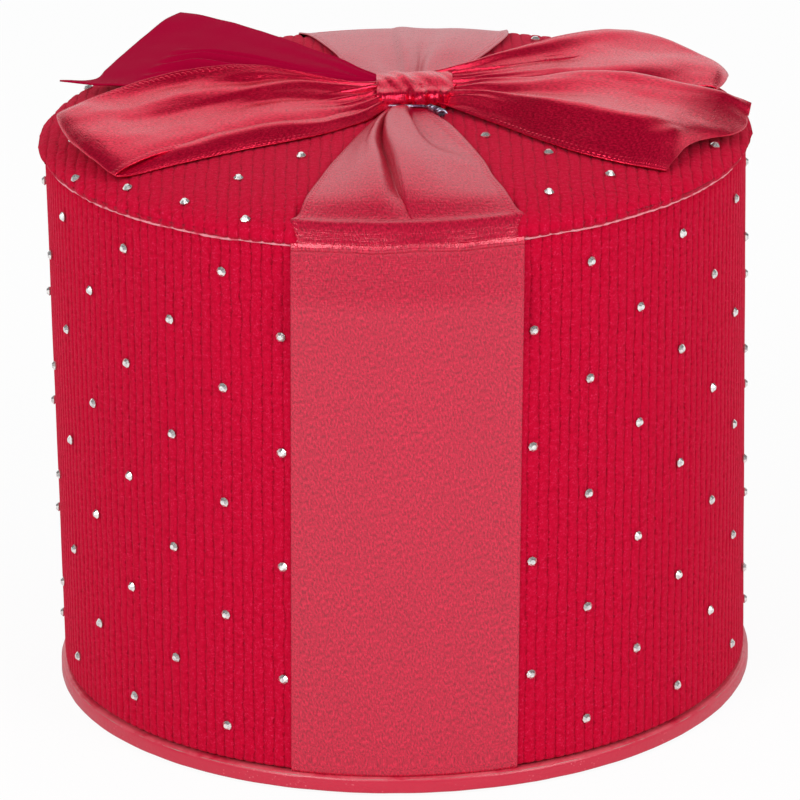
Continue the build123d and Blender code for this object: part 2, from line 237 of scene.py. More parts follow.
class Signal:
    """One output of a material's node, with the arithmetic that the patterns use."""

    def __init__(self, finish, socket):
        self.finish = finish
        self.socket = socket

    def out(self, name):
        return Signal(self.finish, self.socket.node.outputs[name])

    def maths(self, operation, *others):
        values = dict(enumerate((self, *others)))
        return self.finish.node("ShaderNodeMath", {"operation": operation}, values)

    def reflected(self, operation, other):
        return self.finish.node("ShaderNodeMath", {"operation": operation}, {0: other, 1: self})

    def __add__(self, other):
        return self.maths("ADD", other)

    def __radd__(self, other):
        return self.reflected("ADD", other)

    def __sub__(self, other):
        return self.maths("SUBTRACT", other)

    def __rsub__(self, other):
        return self.reflected("SUBTRACT", other)

    def __mul__(self, other):
        return self.maths("MULTIPLY", other)

    def __rmul__(self, other):
        return self.reflected("MULTIPLY", other)

    def fraction(self):
        return self.maths("FRACT")

    def whole(self):
        return self.maths("FLOOR")

    def size(self):
        return self.maths("ABSOLUTE")

    def eased(self, start, end):
        """0 below start, 1 above end and smooth between them."""
        values = {"Value": self, "From Min": start, "From Max": end}
        return self.finish.node("ShaderNodeMapRange", {"interpolation_type": "SMOOTHSTEP"}, values)


class Finish:
    """A material whose nodes all come from one method."""

    def __init__(self, name, **constants):
        self.material = bpy.data.materials.new(name)
        self.material.use_nodes = True
        self.tree = self.material.node_tree
        self.shader = self.tree.nodes["Principled BSDF"]
        for socket, value in constants.items():
            self.shader.inputs[socket.replace("_", " ")].default_value = value

    def node(self, kind, settings=None, values=None, output=0):
        made = self.tree.nodes.new(kind)
        for name, value in (settings or {}).items():
            setattr(made, name, value)
        for name, value in (values or {}).items():
            if isinstance(value, Signal):
                self.tree.links.new(value.socket, made.inputs[name])
            else:
                made.inputs[name].default_value = value
        return Signal(self, made.outputs[output])

    def feed(self, socket, signal):
        self.tree.links.new(signal.socket, self.shader.inputs[socket])

    def cloth(self):
        """Across and along places on the cloth, in millimetres or wales."""
        place = self.node("ShaderNodeUVMap", {"uv_map": "cloth"})
        split = self.node("ShaderNodeSeparateXYZ", values={"Vector": place})
        return split.out("X"), split.out("Y")

    def space(self):
        """Place in the box's own frame."""
        return self.node("ShaderNodeTexCoord").out("Object")

    def vector(self, x, y):
        return self.node("ShaderNodeCombineXYZ", values={"X": x, "Y": y})

    def grain(self, place, scale, detail=2.0, roughness=0.5):
        values = {"Vector": place, "Scale": scale, "Detail": detail, "Roughness": roughness}
        return self.node("ShaderNodeTexNoise", values=values)

    def cells(self, place, scale):
        return self.node("ShaderNodeTexVoronoi", values={"Vector": place, "Scale": scale})

    def blend(self, share, first, second):
        values = {"Factor": share, 6: first, 7: second}
        return self.node("ShaderNodeMix", {"data_type": "RGBA"}, values, output=2)

    def relief(self, height, distance):
        values = {"Height": height, "Distance": distance, "Strength": 1.0}
        self.feed("Normal", self.node("ShaderNodeBump", values=values))


def make_corduroy():
    """Ribs of cut pile: tufts across each rib, broken dark lines of painted shade in the grooves between
    them, painted shade in the dips between the pile's clumps, and paler fibre tips on the raised clumps as
    painted sheen.
    """
    shades = colours()
    finish = Finish(
        "corduroy", Specular_IOR_Level=0.08, Sheen_Weight=0.22, Sheen_Roughness=0.3,
        Sheen_Tint=(1.0, 0.22, 0.34, 1),
    )
    across, along = finish.cloth()
    within = across.fraction()
    beside = (within - 0.5).size() * 2
    own = across.whole() * 3.71
    tufts = finish.grain(finish.vector(own + within * 1.1, along * 1.7), 1.0, 2.0)
    fibres = finish.grain(finish.vector(across * 5.5, along * 3.4), 1.0, 3.0, 0.75)
    clumps = finish.grain(finish.vector(across * 1.9, along * 1.15), 1.0, 2.0, 0.6)
    breaks = finish.grain(finish.vector(own * 1.3, along * 0.9), 1.0, 3.0, 0.7)
    patches = finish.grain(finish.space(), 70.0, 3.0)
    # Painted shade: broken dark lines along the grooves, and darker dips between the pile's clumps
    line = (beside + (tufts - 0.5) * 0.7).eased(0.72, 1.05) * (0.1 + breaks.eased(0.4, 0.6) * 0.9)
    hollow = (1 - clumps.eased(0.3, 0.48)) * 0.8
    # Painted sheen: paler fibre tips where the clumps stand highest, matched by the painted shade in the dips
    tip_sheen = fibres.eased(0.5, 0.66) * clumps.eased(0.42, 0.6)
    lit = finish.blend(tip_sheen, shades.corduroy, shades.corduroy_tip_sheen)
    shaded = finish.blend(line.maths("MAXIMUM", hollow * 0.5), lit, shades.groove)
    finish.feed("Base Color", finish.blend(patches.eased(0.45, 0.8) * 0.3, shaded, shades.corduroy))
    finish.feed("Roughness", 0.72 + fibres * 0.25)
    finish.relief(clumps * 0.5 + fibres * 0.35 - line * 0.35, 0.3 * mm)
    return finish.material


# Tone sets how strongly the painted glints and painted shade of the threads show
satin_weaves = {
    "satin": {"roughness": 0.28, "specular": 0.85, "metallic": 0.26, "relief": 0.9, "tone": 1.5},
    "satin_bow": {"roughness": 0.24, "specular": 0.7, "metallic": 0.64, "relief": 0.8, "tone": 1.5},
    "satin_back": {"roughness": 0.6, "specular": 0.02, "metallic": 0.0, "relief": 0.5, "tone": 0.4},
}


def make_satin(name, colour, ribbon_width):
    """Woven satin: slanted flecks of thread painted as glints with painted shade between them, cross ridges
    and a dashed selvage with a painted highlight.
    """
    weave = satin_weaves[name]
    tone = weave["tone"]
    width = ribbon_width / mm
    finish = Finish(name, Specular_IOR_Level=weave["specular"], Metallic=weave["metallic"])
    across, along = finish.cloth()
    slanted = finish.vector(across * 3.6 + along * 0.6, along * 1.5 - across * 0.35)
    flecks = finish.grain(slanted, 1.0, 2.0, 0.65)
    ridges = finish.grain(finish.vector(across * 0.45, along * 4.2), 1.0, 2.0, 0.6)
    soft = finish.grain(finish.vector(across * 0.12, along * 0.05), 1.0, 2.0)
    rim = (across - width / 2).size()
    dashes = rim.eased(width / 2 - 1.5, width / 2 - 1.25) * (1 - rim.eased(width / 2 - 0.85, width / 2 - 0.6))
    dashes = dashes * ((along + across * 0.5) * 1.1).fraction().eased(0.4, 0.6)
    # Painted glints and shade: pale flecks stand for threads catching light, deep ones for threads in shade
    pale = tuple(min(1, shade * (1 + 0.25 * tone) + 0.004 * tone) for shade in colour[:3]) + (1,)
    deep = tuple(shade * (1 - 0.25 * tone) for shade in colour[:3]) + (1,)
    lit = finish.blend(flecks.eased(0.5, 0.66) * 0.8 * tone, colour, pale)
    wear_and_shade = finish.blend((1 - flecks.eased(0.34, 0.5)) * 0.7 * tone, lit, deep)
    toned = finish.blend(soft.eased(0.4, 0.75) * 0.08, wear_and_shade, deep)
    # Painted highlight: pale dashes along the selvage; the selvage's own weave is real, in the roughness and
    # relief below
    finish.feed("Base Color", finish.blend(dashes * 0.5, toned, pale))
    finish.feed("Roughness", weave["roughness"] + ridges * 0.1 - flecks * 0.08 - dashes * 0.08)
    finish.relief(flecks * 0.7 + ridges * 0.5 + dashes * 0.9, 0.08 * mm * weave["relief"])
    return finish.material


def make_raw_edge():
    """Cut threads at the seam: pale, with gaps where the pile shows through."""
    shades = colours()
    finish = Finish("raw_edge", Specular_IOR_Level=0.2, Sheen_Weight=0.2)
    place = finish.space()
    threads = finish.grain(place, 2600.0, 2.0)
    gaps = finish.grain(place, 420.0, 3.0)
    # The gaps show the pile tips' colour, which carries the painted sheen
    finish.feed("Base Color", finish.blend(gaps.eased(0.52, 0.68), shades.thread, shades.corduroy_tip_sheen))
    finish.feed("Roughness", 0.7 + threads * 0.2)
    finish.relief(threads, 0.2 * mm)
    return finish.material


def make_gloss_paper():
    """Coated paper: a fine orange peel, specks of wear and a painted highlight along the rim's top edge,
    broken up by wear noise.
    """
    shades = colours()
    finish = Finish("gloss_paper", Specular_IOR_Level=0.5, Coat_Weight=0.25, Coat_Roughness=0.2)
    place = finish.space()
    split = finish.node("ShaderNodeSeparateXYZ", values={"Vector": place})
    height = split.out("Z")
    peel = finish.grain(place, 900.0, 3.0)
    specks = finish.cells(place, 1500.0)
    wear = finish.grain(place, 160.0, 5.0, 0.7)
    # Specks of wear only here; in the satin the same name carries painted shade on the threads
    wear_and_shade = (1 - specks.eased(0.08, 0.3)) * wear.eased(0.5, 0.62)
    # Painted highlight: the rim's top edge turned paler, broken up by the wear noise
    edge = height.eased(base_high.z - 0.55 * mm, base_high.z - 0.1 * mm)
    pale = (0.8, 0.16, 0.2, 1)
    highlit_edge = finish.blend(edge * wear.eased(0.3, 0.6) * 0.5, shades.paper, pale)
    finish.feed("Base Color", finish.blend(wear_and_shade * 0.7, highlit_edge, pale))
    finish.feed("Roughness", 0.3 + peel * 0.15 + wear_and_shade * 0.2)
    finish.relief(peel + specks * 0.3, 0.05 * mm)
    return finish.material


def make_plain_paper(name, colour, scale=1400.0):
    """Uncoated paper or board: pulp fibres, flecks and a faint mottle."""
    finish = Finish(name, Specular_IOR_Level=0.25)
    place = finish.space()
    pulp = finish.grain(place, scale, 4.0, 0.65)
    mottle = finish.grain(place, scale / 12, 3.0)
    pale = tuple(min(1, shade * 1.25 + 0.01) for shade in colour[:3]) + (1,)
    deep = tuple(shade * 0.75 for shade in colour[:3]) + (1,)
    fleck = finish.blend(pulp.eased(0.4, 0.7) * 0.6, colour, pale)
    finish.feed("Base Color", finish.blend(mottle.eased(0.35, 0.7) * 0.5, fleck, deep))
    finish.feed("Roughness", 0.6 + pulp * 0.25)
    finish.relief(pulp, 0.04 * mm)
    return finish.material


def make_padding_finish():
    finish = Finish("padding_foam", Specular_IOR_Level=0.15, Sheen_Weight=0.15)
    place = finish.space()
    pores = finish.cells(place, 1300.0)
    clouds = finish.grain(place, 180.0, 4.0)
    pale, deep = (0.8, 0.78, 0.7, 1), (0.66, 0.63, 0.52, 1)
    finish.feed("Base Color", finish.blend(clouds.eased(0.3, 0.7), pale, deep))
    finish.feed("Roughness", 0.8 + pores * 0.15)
    finish.relief(pores, 0.2 * mm)
    return finish.material


def make_stone_finish():
    """Clear cut stone on a silvered back."""
    finish = Finish("clear_stone", Metallic=0.75, IOR=1.55, Coat_Weight=0.8, Coat_Roughness=0.03)
    place = finish.space()
    cloud = finish.grain(place, 1800.0, 2.0)
    finish.feed("Base Color", finish.blend(cloud.eased(0.35, 0.7), colours().stone, (0.6, 0.58, 0.6, 1)))
    finish.feed("Roughness", 0.1 + cloud * 0.18)
    return finish.material


def make_wire_finish():
    finish = Finish("tie_wire", Metallic=1.0)
    place = finish.space()
    scratches = finish.grain(place, 2400.0, 3.0)
    tarnish = finish.grain(place, 700.0, 3.0)
    finish.feed("Base Color", finish.blend(tarnish.eased(0.45, 0.6), colours().metal, (0.12, 0.05, 0.1, 1)))
    finish.feed("Roughness", 0.18 + scratches * 0.25)
    finish.relief(scratches, 0.03 * mm)
    return finish.material


finishes = {}


def finish_of(name):
    """The material of that name, made when it is first asked for."""
    if name not in finishes:
        shades = colours()
        makers = {
            "corduroy": make_corduroy,
            "satin": lambda: make_satin("satin", tuple(shades.satin), sizes().ribbon_width),
            "satin_bow": lambda: make_satin("satin_bow", tuple(shades.satin_bow), sizes().bow_width),
            "satin_back": lambda: make_satin("satin_back", tuple(shades.satin_back), sizes().bow_width),
            "raw_edge": make_raw_edge,
            "gloss_paper": make_gloss_paper,
            "lining": lambda: make_plain_paper("lining_paper", tuple(shades.lining)),
            "board": lambda: make_plain_paper("greyboard", tuple(shades.board), 900.0),
            "padding": make_padding_finish,
            "stone": make_stone_finish,
            "wire": make_wire_finish,
        }
        finishes[name] = makers[name]()
    return finishes[name]


# Mesh helpers

sheet_weld = 0.002 * mm
solid_weld = 0.001 * mm


def add_piece(name, bm, finish_names, body, replaced=(), smooth=True):
    """Turn a bmesh into a piece that rides on a body and stands for CAD nodes."""
    mesh = bpy.data.meshes.new(name)
    bm.to_mesh(mesh)
    bm.free()
    if not mesh.polygons:
        raise RuntimeError(f"{name} has no faces")
    if smooth:
        mesh.shade_smooth()
    piece = bpy.data.objects.new(name, mesh)
    bpy.context.scene.collection.objects.link(piece)
    for finish_name in finish_names:
        mesh.materials.append(finish_of(finish_name))
    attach(piece, body)
    if replaced:
        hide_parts(*replaced)
    return piece


def thicken(piece, thickness, offset):
    """Give a sheet its thickness, with its second material on the back."""
    shell = piece.modifiers.new("thickness", "SOLIDIFY")
    shell.thickness = thickness
    shell.offset = offset
    shell.material_offset = 1


def cloth_grid(columns, rows, place, measure):
    """A grid moved to place(u, v), whose own map holds measure(u, v), with u and v from 0 to 1."""
    bm = bmesh.new()
    layer = bm.loops.layers.uv.new("cloth")
    bmesh.ops.create_grid(bm, x_segments=columns, y_segments=rows, size=0.5)
    for face in bm.faces:
        for loop in face.loops:
            loop[layer].uv = measure(loop.vert.co.x + 0.5, loop.vert.co.y + 0.5)
    for vert in bm.verts:
        vert.co = place(vert.co.x + 0.5, vert.co.y + 0.5)
    return bm


def close_up(bm):
    """Join what meets and turn all faces outwards."""
    bmesh.ops.remove_doubles(bm, verts=bm.verts, dist=sheet_weld)
    bmesh.ops.recalc_face_normals(bm, faces=bm.faces)


def clamped(share):
    """A share kept within 0 and 1."""
    return min(max(share, 0), 1)


def face_up(bm, seen):
    """Turn a sheet over where those of its faces that are seen point down."""
    bm.normal_update()
    if sum(face.normal.z for face in seen) < 0:
        bmesh.ops.reverse_faces(bm, faces=bm.faces)


def turned(profile, steps):
    """Spin a profile of radius and height pairs once round the box's axis."""
    bm = bmesh.new()
    verts = [bm.verts.new((radius, 0, height)) for radius, height in profile]
    edges = [bm.edges.new(pair) for pair in zip(verts, verts[1:])]
    bmesh.ops.spin(
        bm, geom=verts + edges, axis=UP, cent=(0, 0, 0), angle=2 * pi, steps=steps, use_merge=True
    )
    close_up(bm)
    return bm


def along_curve(points, place):
    """Point on a smooth curve through a row of points, with place from 0 to 1."""
    spans = len(points) - 1
    step = min(int(place * spans), spans - 1)
    share = place * spans - step
    before, start, end, after = (points[min(max(step + k, 0), spans)] for k in (-1, 0, 1, 2))
    return (
        start * 2
        + (end - before) * share
        + (before * 2 - start * 5 + end * 4 - after) * share**2
        + (start * 3 - before - end * 3 + after) * share**3
    ) / 2


def wobble(x, y, z, scale):
    """Smooth noise from about -1 to 1, with features of the given size."""
    return noise.noise(Vector((x, y, z)) / scale)


def look_up(node):
    """A search tree of a CAD node's surface."""
    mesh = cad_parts[node].data
    faces = [tuple(face.vertices) for face in mesh.polygons]
    return BVHTree.FromPolygons([vert.co for vert in mesh.vertices], faces)


top_surface = look_up("lid_top_cover")


def top_height(x, y):
    """Height of the padded top's cloth."""
    reach = hypot(x, y)
    most = bulge_radius - 0.05 * mm
    if reach > most:
        x, y = x * most / reach, y * most / reach
    found = top_surface.ray_cast(Vector((x, y, top_high.z + wall_radius)), -UP)
    if found[0] is None:
        raise RuntimeError("the padded top has a hole")
    return found[0].z


# Where the ribbon pulls into the padding
press_edge = 1.6 * mm
press_start = 50 * mm
press_run = 8 * mm
press_depth = 1.1 * mm
press_inward = 0.9 * mm


def ribbon_press(x, y):
    """How deep the ribbon pulls into the padding, near the rim under it."""
    beside = abs(x - sizes().wale_lean) - sizes().ribbon_width / 2
    across = clamped(-beside / press_edge)
    outward = clamped((hypot(x, y) - press_start) / press_run)
    return across**2 * (3 - 2 * across) * outward**2 * (3 - 2 * outward)


def cover_height(x, y):
    """Height of the padded top's cloth with the ribbon pulled over it."""
    return top_height(x, y) - press_depth * ribbon_press(x, y)


# Corduroy

steps_per_wale = 8
wall_rows = 38
top_rows = 64
hem_depth = 3.8 * mm
hem_upturn = 12.5 * mm
hem_corner = 0.6 * mm
# The top cloth's edge below its widest line: radius and drop, in millimetres
skirt_rings = ((60.7, 0.6), (60.15, 1.1), (59.4, 1.35))


def wale_profile(place):
    """Depth of a rib's face at a place across it, from 0 on its crest to 1 in the groove."""
    beside = abs(place - floor(place) - 0.5) * 2
    return beside**4


def wale_drift(spot):
    """Sideways wander of the ribs, which follow the cloth's weave."""
    broad = 0.3 * mm * wobble(spot.x, spot.y, spot.z, 3.1 * mm)
    return broad + 0.14 * mm * wobble(spot.z, spot.x, spot.y, 0.9 * mm)


def sideways(height):
    """How far the wall's cloth and ribbon stand to the right at a height."""
    share = min(height / seam_height, 1)
    return sizes().wale_foot * (1 - share) + sizes().wale_lean * share


def wall_profile():
    """Radius and height of the wall's cloth, from inside the hem to the seam."""
    inside = wall_radius - hem_depth
    points = [(inside, hem_bottom + hem_upturn), (inside, hem_bottom + 4 * mm), (inside, hem_bottom)]
    points += [(wall_radius - 2.2 * mm, hem_bottom), (wall_radius - hem_corner, hem_bottom)]
    for step in (1, 2, 3):
        turn = step * pi / 6
        radius = wall_radius - hem_corner + hem_corner * sin(turn)
        points.append((radius, hem_bottom + hem_corner - hem_corner * cos(turn)))
    start = hem_bottom + hem_corner
    for step in range(1, wall_rows + 1):
        points.append((wall_radius, start + (seam_height - start) * step / wall_rows))
    points.append((wall_radius - 0.5 * mm, seam_height + 0.15 * mm))
    return points


class GIFTBOX_OT_wall_cover(bpy.types.Operator):
    """Wrap the wall in ribbed corduroy with its hem turned up inside"""

    bl_idname = "giftbox.wall_cover"
    bl_label = "Wall Cover"

    def execute(self, context):
        size = sizes()
        wales = round(2 * pi * wall_radius / size.wale_pitch)
        profile = wall_profile()
        rows = len(profile) - 1

        def place(u, v):
            radius, height = profile[round(v * rows)]
            turn = 2 * pi * u + pi + sideways(height) / wall_radius
            depth = size.wale_depth * wale_profile(u * wales)
            swell = 0.06 * mm * wobble(cos(turn), sin(turn), height / (40 * mm), 0.35)
            outer = Vector((radius * sin(turn), -radius * cos(turn), height))
            if radius > wall_radius - mm:
                radius += swell - depth
                turn += wale_drift(outer) / radius
            return Vector((radius * sin(turn), -radius * cos(turn), height))

        def measure(u, v):
            return u * wales, profile[round(v * rows)][1] / mm

        bm = cloth_grid(wales * steps_per_wale, rows, place, measure)
        bmesh.ops.remove_doubles(bm, verts=bm.verts, dist=sheet_weld)
        piece = add_piece("wall_cover", bm, ["corduroy"], "lid", ["lid_wall_cover"])
        return {"FINISHED"}


class GIFTBOX_OT_top_cover(bpy.types.Operator):
    """Stretch ribbed corduroy over the padded top, down to the seam"""

    bl_idname = "giftbox.top_cover"
    bl_label = "Top Cover"

    def execute(self, context):
        size = sizes()
        wales = 2 * bulge_radius / size.wale_pitch
        columns = ceil(wales * steps_per_wale)

        def place(u, v):
            x = (u * 2 - 1) * bulge_radius
            half = sqrt(max(bulge_radius**2 - x**2, 0))
            y = half * sin((v - 0.5) * pi)
            inward = 1 - press_inward * ribbon_press(x, y) / bulge_radius
            return Vector((x * inward, y * inward, cover_height(x, y)))

        def measure(u, v):
            x = (u * 2 - 1) * bulge_radius
            half = sqrt(max(bulge_radius**2 - x**2, 0))
            return u * wales, half * sin((v - 0.5) * pi) / mm

        bm = cloth_grid(columns, top_rows, place, measure)
        close_up(bm)
        face_up(bm, bm.faces)
        rim = [edge for edge in bm.edges if edge.is_boundary]
        layer = bm.loops.layers.uv["cloth"]
        for reach, drop in skirt_rings:
            grown = bmesh.ops.extrude_edge_only(bm, edges=rim)["geom"]
            rim = [item for item in grown if isinstance(item, bmesh.types.BMEdge) and item.is_boundary]
            for vert in (item for item in grown if isinstance(item, bmesh.types.BMVert)):
                flat = Vector((vert.co.x, vert.co.y, 0)).normalized() * reach * mm
                vert.co = flat + UP * (seam_height + 1.2 * mm - drop * mm)
            for face in (item for item in grown if isinstance(item, bmesh.types.BMFace)):
                for loop in face.loops:
                    spot = loop.vert.co
                    loop[layer].uv = ((spot.x / bulge_radius + 1) / 2 * wales, spot.y / mm)
        bm.normal_update()
        for vert in bm.verts:
            place_across = (vert.co.x / bulge_radius + 1) / 2 * wales
            depth = size.wale_depth * wale_profile(place_across)
            swell = 0.12 * mm * wobble(vert.co.x, vert.co.y, vert.co.z, 9 * mm)
            drift = wale_drift(vert.co)
            vert.co += vert.normal * (swell - depth) + Vector((drift, 0, 0))
        piece = add_piece("top_cover", bm, ["corduroy"], "lid", ["lid_top_cover"])
        return {"FINISHED"}


class GIFTBOX_OT_top_padding(bpy.types.Operator):
    """Fill the pillowed top with soft padding that swells under the cloth"""

    bl_idname = "giftbox.top_padding"
    bl_label = "Top Padding"

    def execute(self, context):
        voxel = 2.4 * mm
        held_height = 1.2 * mm
        most_move = 0.3 * mm
        cover_gap = 0.75 * mm
        bm = bmesh.new()
        bm.from_mesh(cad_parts["lid_top_foam"].data)
        bmesh.ops.remove_doubles(bm, verts=bm.verts, dist=solid_weld)
        bmesh.ops.recalc_face_normals(bm, faces=bm.faces)
        piece = add_piece("top_padding", bm, ["padding"], "lid", ["lid_top_foam"])
        select_only(context, piece)
        even = piece.modifiers.new("even", "REMESH")
        even.mode = "VOXEL"
        even.voxel_size = voxel
        bpy.ops.object.modifier_apply(modifier=even.name)
        mesh = piece.data
        start = [vert.co.copy() for vert in mesh.vertices]
        low = min(spot.z for spot in start)
        held = piece.vertex_groups.new(name="held")
        held.add([k for k, spot in enumerate(start) if spot.z < low + held_height], 1.0, "ADD")
        swell = piece.modifiers.new("swell", "CLOTH")
        swell.settings.vertex_group_mass = held.name
        swell.settings.use_pressure = True
        swell.settings.uniform_pressure_force = 4
        swell.settings.effector_weights.gravity = 0
        swell.settings.quality = 6
        for step in range(1, 21):
            context.scene.frame_set(step)
        bpy.ops.object.modifier_apply(modifier=swell.name)
        context.scene.frame_set(1)
        for vert, spot in zip(mesh.vertices, start):
            move = vert.co - spot
            if move.length > most_move:
                vert.co = spot + move.normalized() * most_move
            ceiling = cover_height(vert.co.x, vert.co.y) - cover_gap
            vert.co.z = min(vert.co.z, ceiling)
        mesh.shade_smooth()
        finer = piece.modifiers.new("finer", "SUBSURF")
        finer.levels = 1
        finer.render_levels = 1
        return {"FINISHED"}


def select_only(context, piece):
    """Make one piece the active one, for the tools that need it."""
    for other in context.selected_objects:
        other.select_set(False)
    piece.select_set(True)
    context.view_layer.objects.active = piece


class GIFTBOX_OT_seam_edge(bpy.types.Operator):
    """Lay the frayed raw edge of the wall's cloth along the seam"""

    bl_idname = "giftbox.seam_edge"
    bl_label = "Seam Edge"

    def execute(self, context):
        width = sizes().seam_width
        ring = 1440
        profile = [(-0.5, -0.45), (0.1, -0.5), (0.28, -0.1), (0.12, 0.4), (-0.6, 0.5)]

        def place(u, v):
            turn = 2 * pi * u
            out, rise = profile[round(v * (len(profile) - 1))]
            spot = Vector((cos(turn), sin(turn), 0)) * wall_radius
            fray = 0.4 + 0.6 * (wobble(spot.x, spot.y, rise, 1.3 * mm) + 0.5)
            drift = 0.12 * mm * wobble(spot.x, spot.y, 0, 7 * mm)
            radius = wall_radius + out * width * fray
            return Vector((radius * cos(turn), radius * sin(turn), seam_height + rise * width * fray + drift))

        bm = cloth_grid(ring, len(profile) - 1, place, lambda u, v: (u * 100, v))
        close_up(bm)
        add_piece("seam_edge", bm, ["raw_edge"], "lid")
        return {"FINISHED"}


# Satin ribbon over the lid

ribbon_points = 11
ribbon_columns = 120
ribbon_steps = 620
rim_bend_start = 40
rim_bend_run = 14
# Each row of the fan, in millimetres: its place along Y, places across and lifts over the top
fan_rows = [
    (
        -56.0, (-15.9, -11.5, -7.3, -2.6, 2.2, 2.5, 2.9, 6.6, 10.8, 15.2, 19.5),
        (0.3, 0.4, 0.45, 0.5, 0.3, 0.4, 0.5, 0.45, 0.4, 0.4, 0.3),
    ),
    (
        -52.0, (-14.9, -10.8, -6.9, -2.6, 1.0, 1.5, 2.1, 6.0, 10.0, 14.2, 18.3),
        (0.2, 0.5, 0.7, 0.8, 0.2, 0.6, 1.0, 0.8, 0.6, 0.4, 0.2),
    ),
    (
        -48.0, (-14.0, -10.2, -6.4, -2.6, 0.1, 0.8, 1.6, 5.2, 9.2, 13.2, 17.4),
        (0.05, 0.5, 0.9, 1.2, -0.05, 0.8, 1.6, 1.2, 0.8, 0.4, 0.05),
    ),
    (
        -42.0, (-12.4, -9.2, -6.0, -2.8, -0.6, 0.1, 0.9, 4.2, 7.8, 11.8, 15.9),
        (0.05, 0.5, 1.1, 1.5, -0.05, 1.0, 2.1, 1.8, 1.1, 0.6, 0.1),
    ),
    (
        -35.0, (-10.5, -8.0, -5.6, -3.1, -1.3, -0.6, 0.2, 3.0, 6.6, 10.6, 14.6),
        (0.1, 0.5, 1.2, 1.7, -0.05, 1.2, 2.4, 2.2, 1.4, 0.8, 0.1),
    ),
    (
        -27.0, (-8.1, -6.5, -5.0, -3.6, -2.1, -1.5, -0.8, 1.4, 4.2, 6.6, 12.4),
        (0.1, 0.6, 1.2, 1.7, -0.05, 1.2, 2.4, 2.3, 1.7, 0.2, 0.4),
    ),
    (
        -18.0, (-5.2, -4.4, -3.6, -2.9, -2.0, -1.6, -1.2, 0.5, 2.7, 4.0, 9.6),
        (0.2, 0.6, 1.0, 1.5, 0.0, 1.2, 2.2, 2.2, 1.9, 0.0, 0.8),
    ),
    (
        -11.0, (-2.8, -2.4, -2.0, -1.6, -1.1, -0.8, -0.4, 0.7, 1.9, 3.1, 6.8),
        (0.2, 0.5, 0.8, 1.0, 0.0, 0.9, 1.8, 1.8, 1.6, 0.1, 0.8),
    ),
    (
        -5.0, (-1.0, -0.6, -0.2, 0.2, 0.6, 1.0, 1.4, 2.0, 2.8, 3.8, 5.2),
        (0.2, 0.2, 0.2, 0.2, 0.1, 0.3, 0.5, 0.5, 0.4, 0.2, 0.3),
    ),
    (0.0, (-1.6, -0.9, -0.2, 0.5, 1.2, 1.8, 2.4, 3.2, 4.2, 5.2, 6.2), (0.1,) * 11),
    (
        5.0, (-2.8, -1.8, -0.9, 0.0, 0.8, 1.7, 2.6, 3.5, 4.5, 5.6, 7.0),
        (0.2, 0.3, 0.5, 0.4, 0.2, 0.5, 0.4, 0.2, 0.4, 0.3, 0.2),
    ),
    (
        11.0, (-5.2, -3.4, -1.8, -0.3, 0.9, 2.1, 3.1, 4.1, 5.4, 7.4, 9.8),
        (0.3, 0.5, 0.5, 0.3, 0.5, 1.2, 0.9, 0.3, 0.9, 0.7, 0.3),
    ),
    (
        19.0, (-8.0, -5.6, -3.4, -1.2, 0.6, 2.2, 3.6, 4.6, 6.4, 9.4, 13.0),
        (0.3, 0.6, 0.7, 0.4, 0.6, 1.6, 1.1, 0.4, 1.3, 0.9, 0.4),
    ),
    (
        28.0, (-10.0, -7.4, -4.8, -2.2, 0.2, 1.9, 3.8, 5.2, 8.0, 12.0, 16.4),
        (0.4, 0.7, 0.7, 0.5, 0.7, 1.7, 1.1, 0.5, 1.4, 1.0, 0.4),
    ),
    (
        38.0, (-12.7, -9.4, -6.0, -2.8, -0.2, 1.6, 4.0, 6.0, 9.6, 14.2, 19.4),
        (0.2, 0.5, 0.6, 0.4, 0.5, 1.3, 0.8, 0.5, 1.1, 0.8, 0.3),
    ),
    (
        48.0, (-15.0, -11.2, -7.4, -3.6, -0.6, 1.4, 4.4, 7.4, 11.4, 16.0, 20.6),
        (0.1, 0.3, 0.3, 0.3, 0.3, 0.7, 0.4, 0.3, 0.5, 0.4, 0.1),
    ),
    (
        56.0, (-16.8, -12.9, -9.0, -5.0, -1.4, 1.6, 5.0, 9.0, 12.9, 16.8, 20.6),
        (0.0, 0.1, 0.1, 0.1, 0.1, 0.15, 0.1, 0.1, 0.1, 0.1, 0.0),
    ),
]


# How the ribbon swells out under the seam and turns over it: outward and up, in millimetres
ribbon_bend = [
    (0.25, -20.5), (0.8, -15.5), (1.3, -11.5), (1.25, -9.2), (0.85, -6.2), (0.32, -2.4), (0.15, -0.9),
    (0.36, -0.5), (0.52, -0.25), (0.46, 0.0), (0.2, 0.46), (-0.25, 0.95), (-0.85, 1.6), (-1.7, 2.45),
    (-2.7, 3.1),
]


def fan_row(along, places, lifts):
    """Points across the ribbon on the padded top, in a row that bends with the rim near it."""
    bend = clamped((abs(along) - rim_bend_start) / rim_bend_run)
    row = []
    for place, lift in zip(places, lifts):
        round_way = sqrt(along**2 - min(place**2, along**2)) * (1 if along > 0 else -1)
        x, y = place * mm, (along * (1 - bend) + round_way * bend) * mm
        row.append(Vector((x, y, cover_height(x, y) + (0.12 + lift) * mm)))
    return row


def wall_row(front, radius, height, edges):
    """Points across the ribbon where it lies on the wall."""
    left, right = edges
    row = []
    for step in range(ribbon_points):
        x = (left + (right - left) * step / (ribbon_points - 1)) * mm
        row.append(Vector((x, front * sqrt(radius**2 - x**2), height)))
    return row


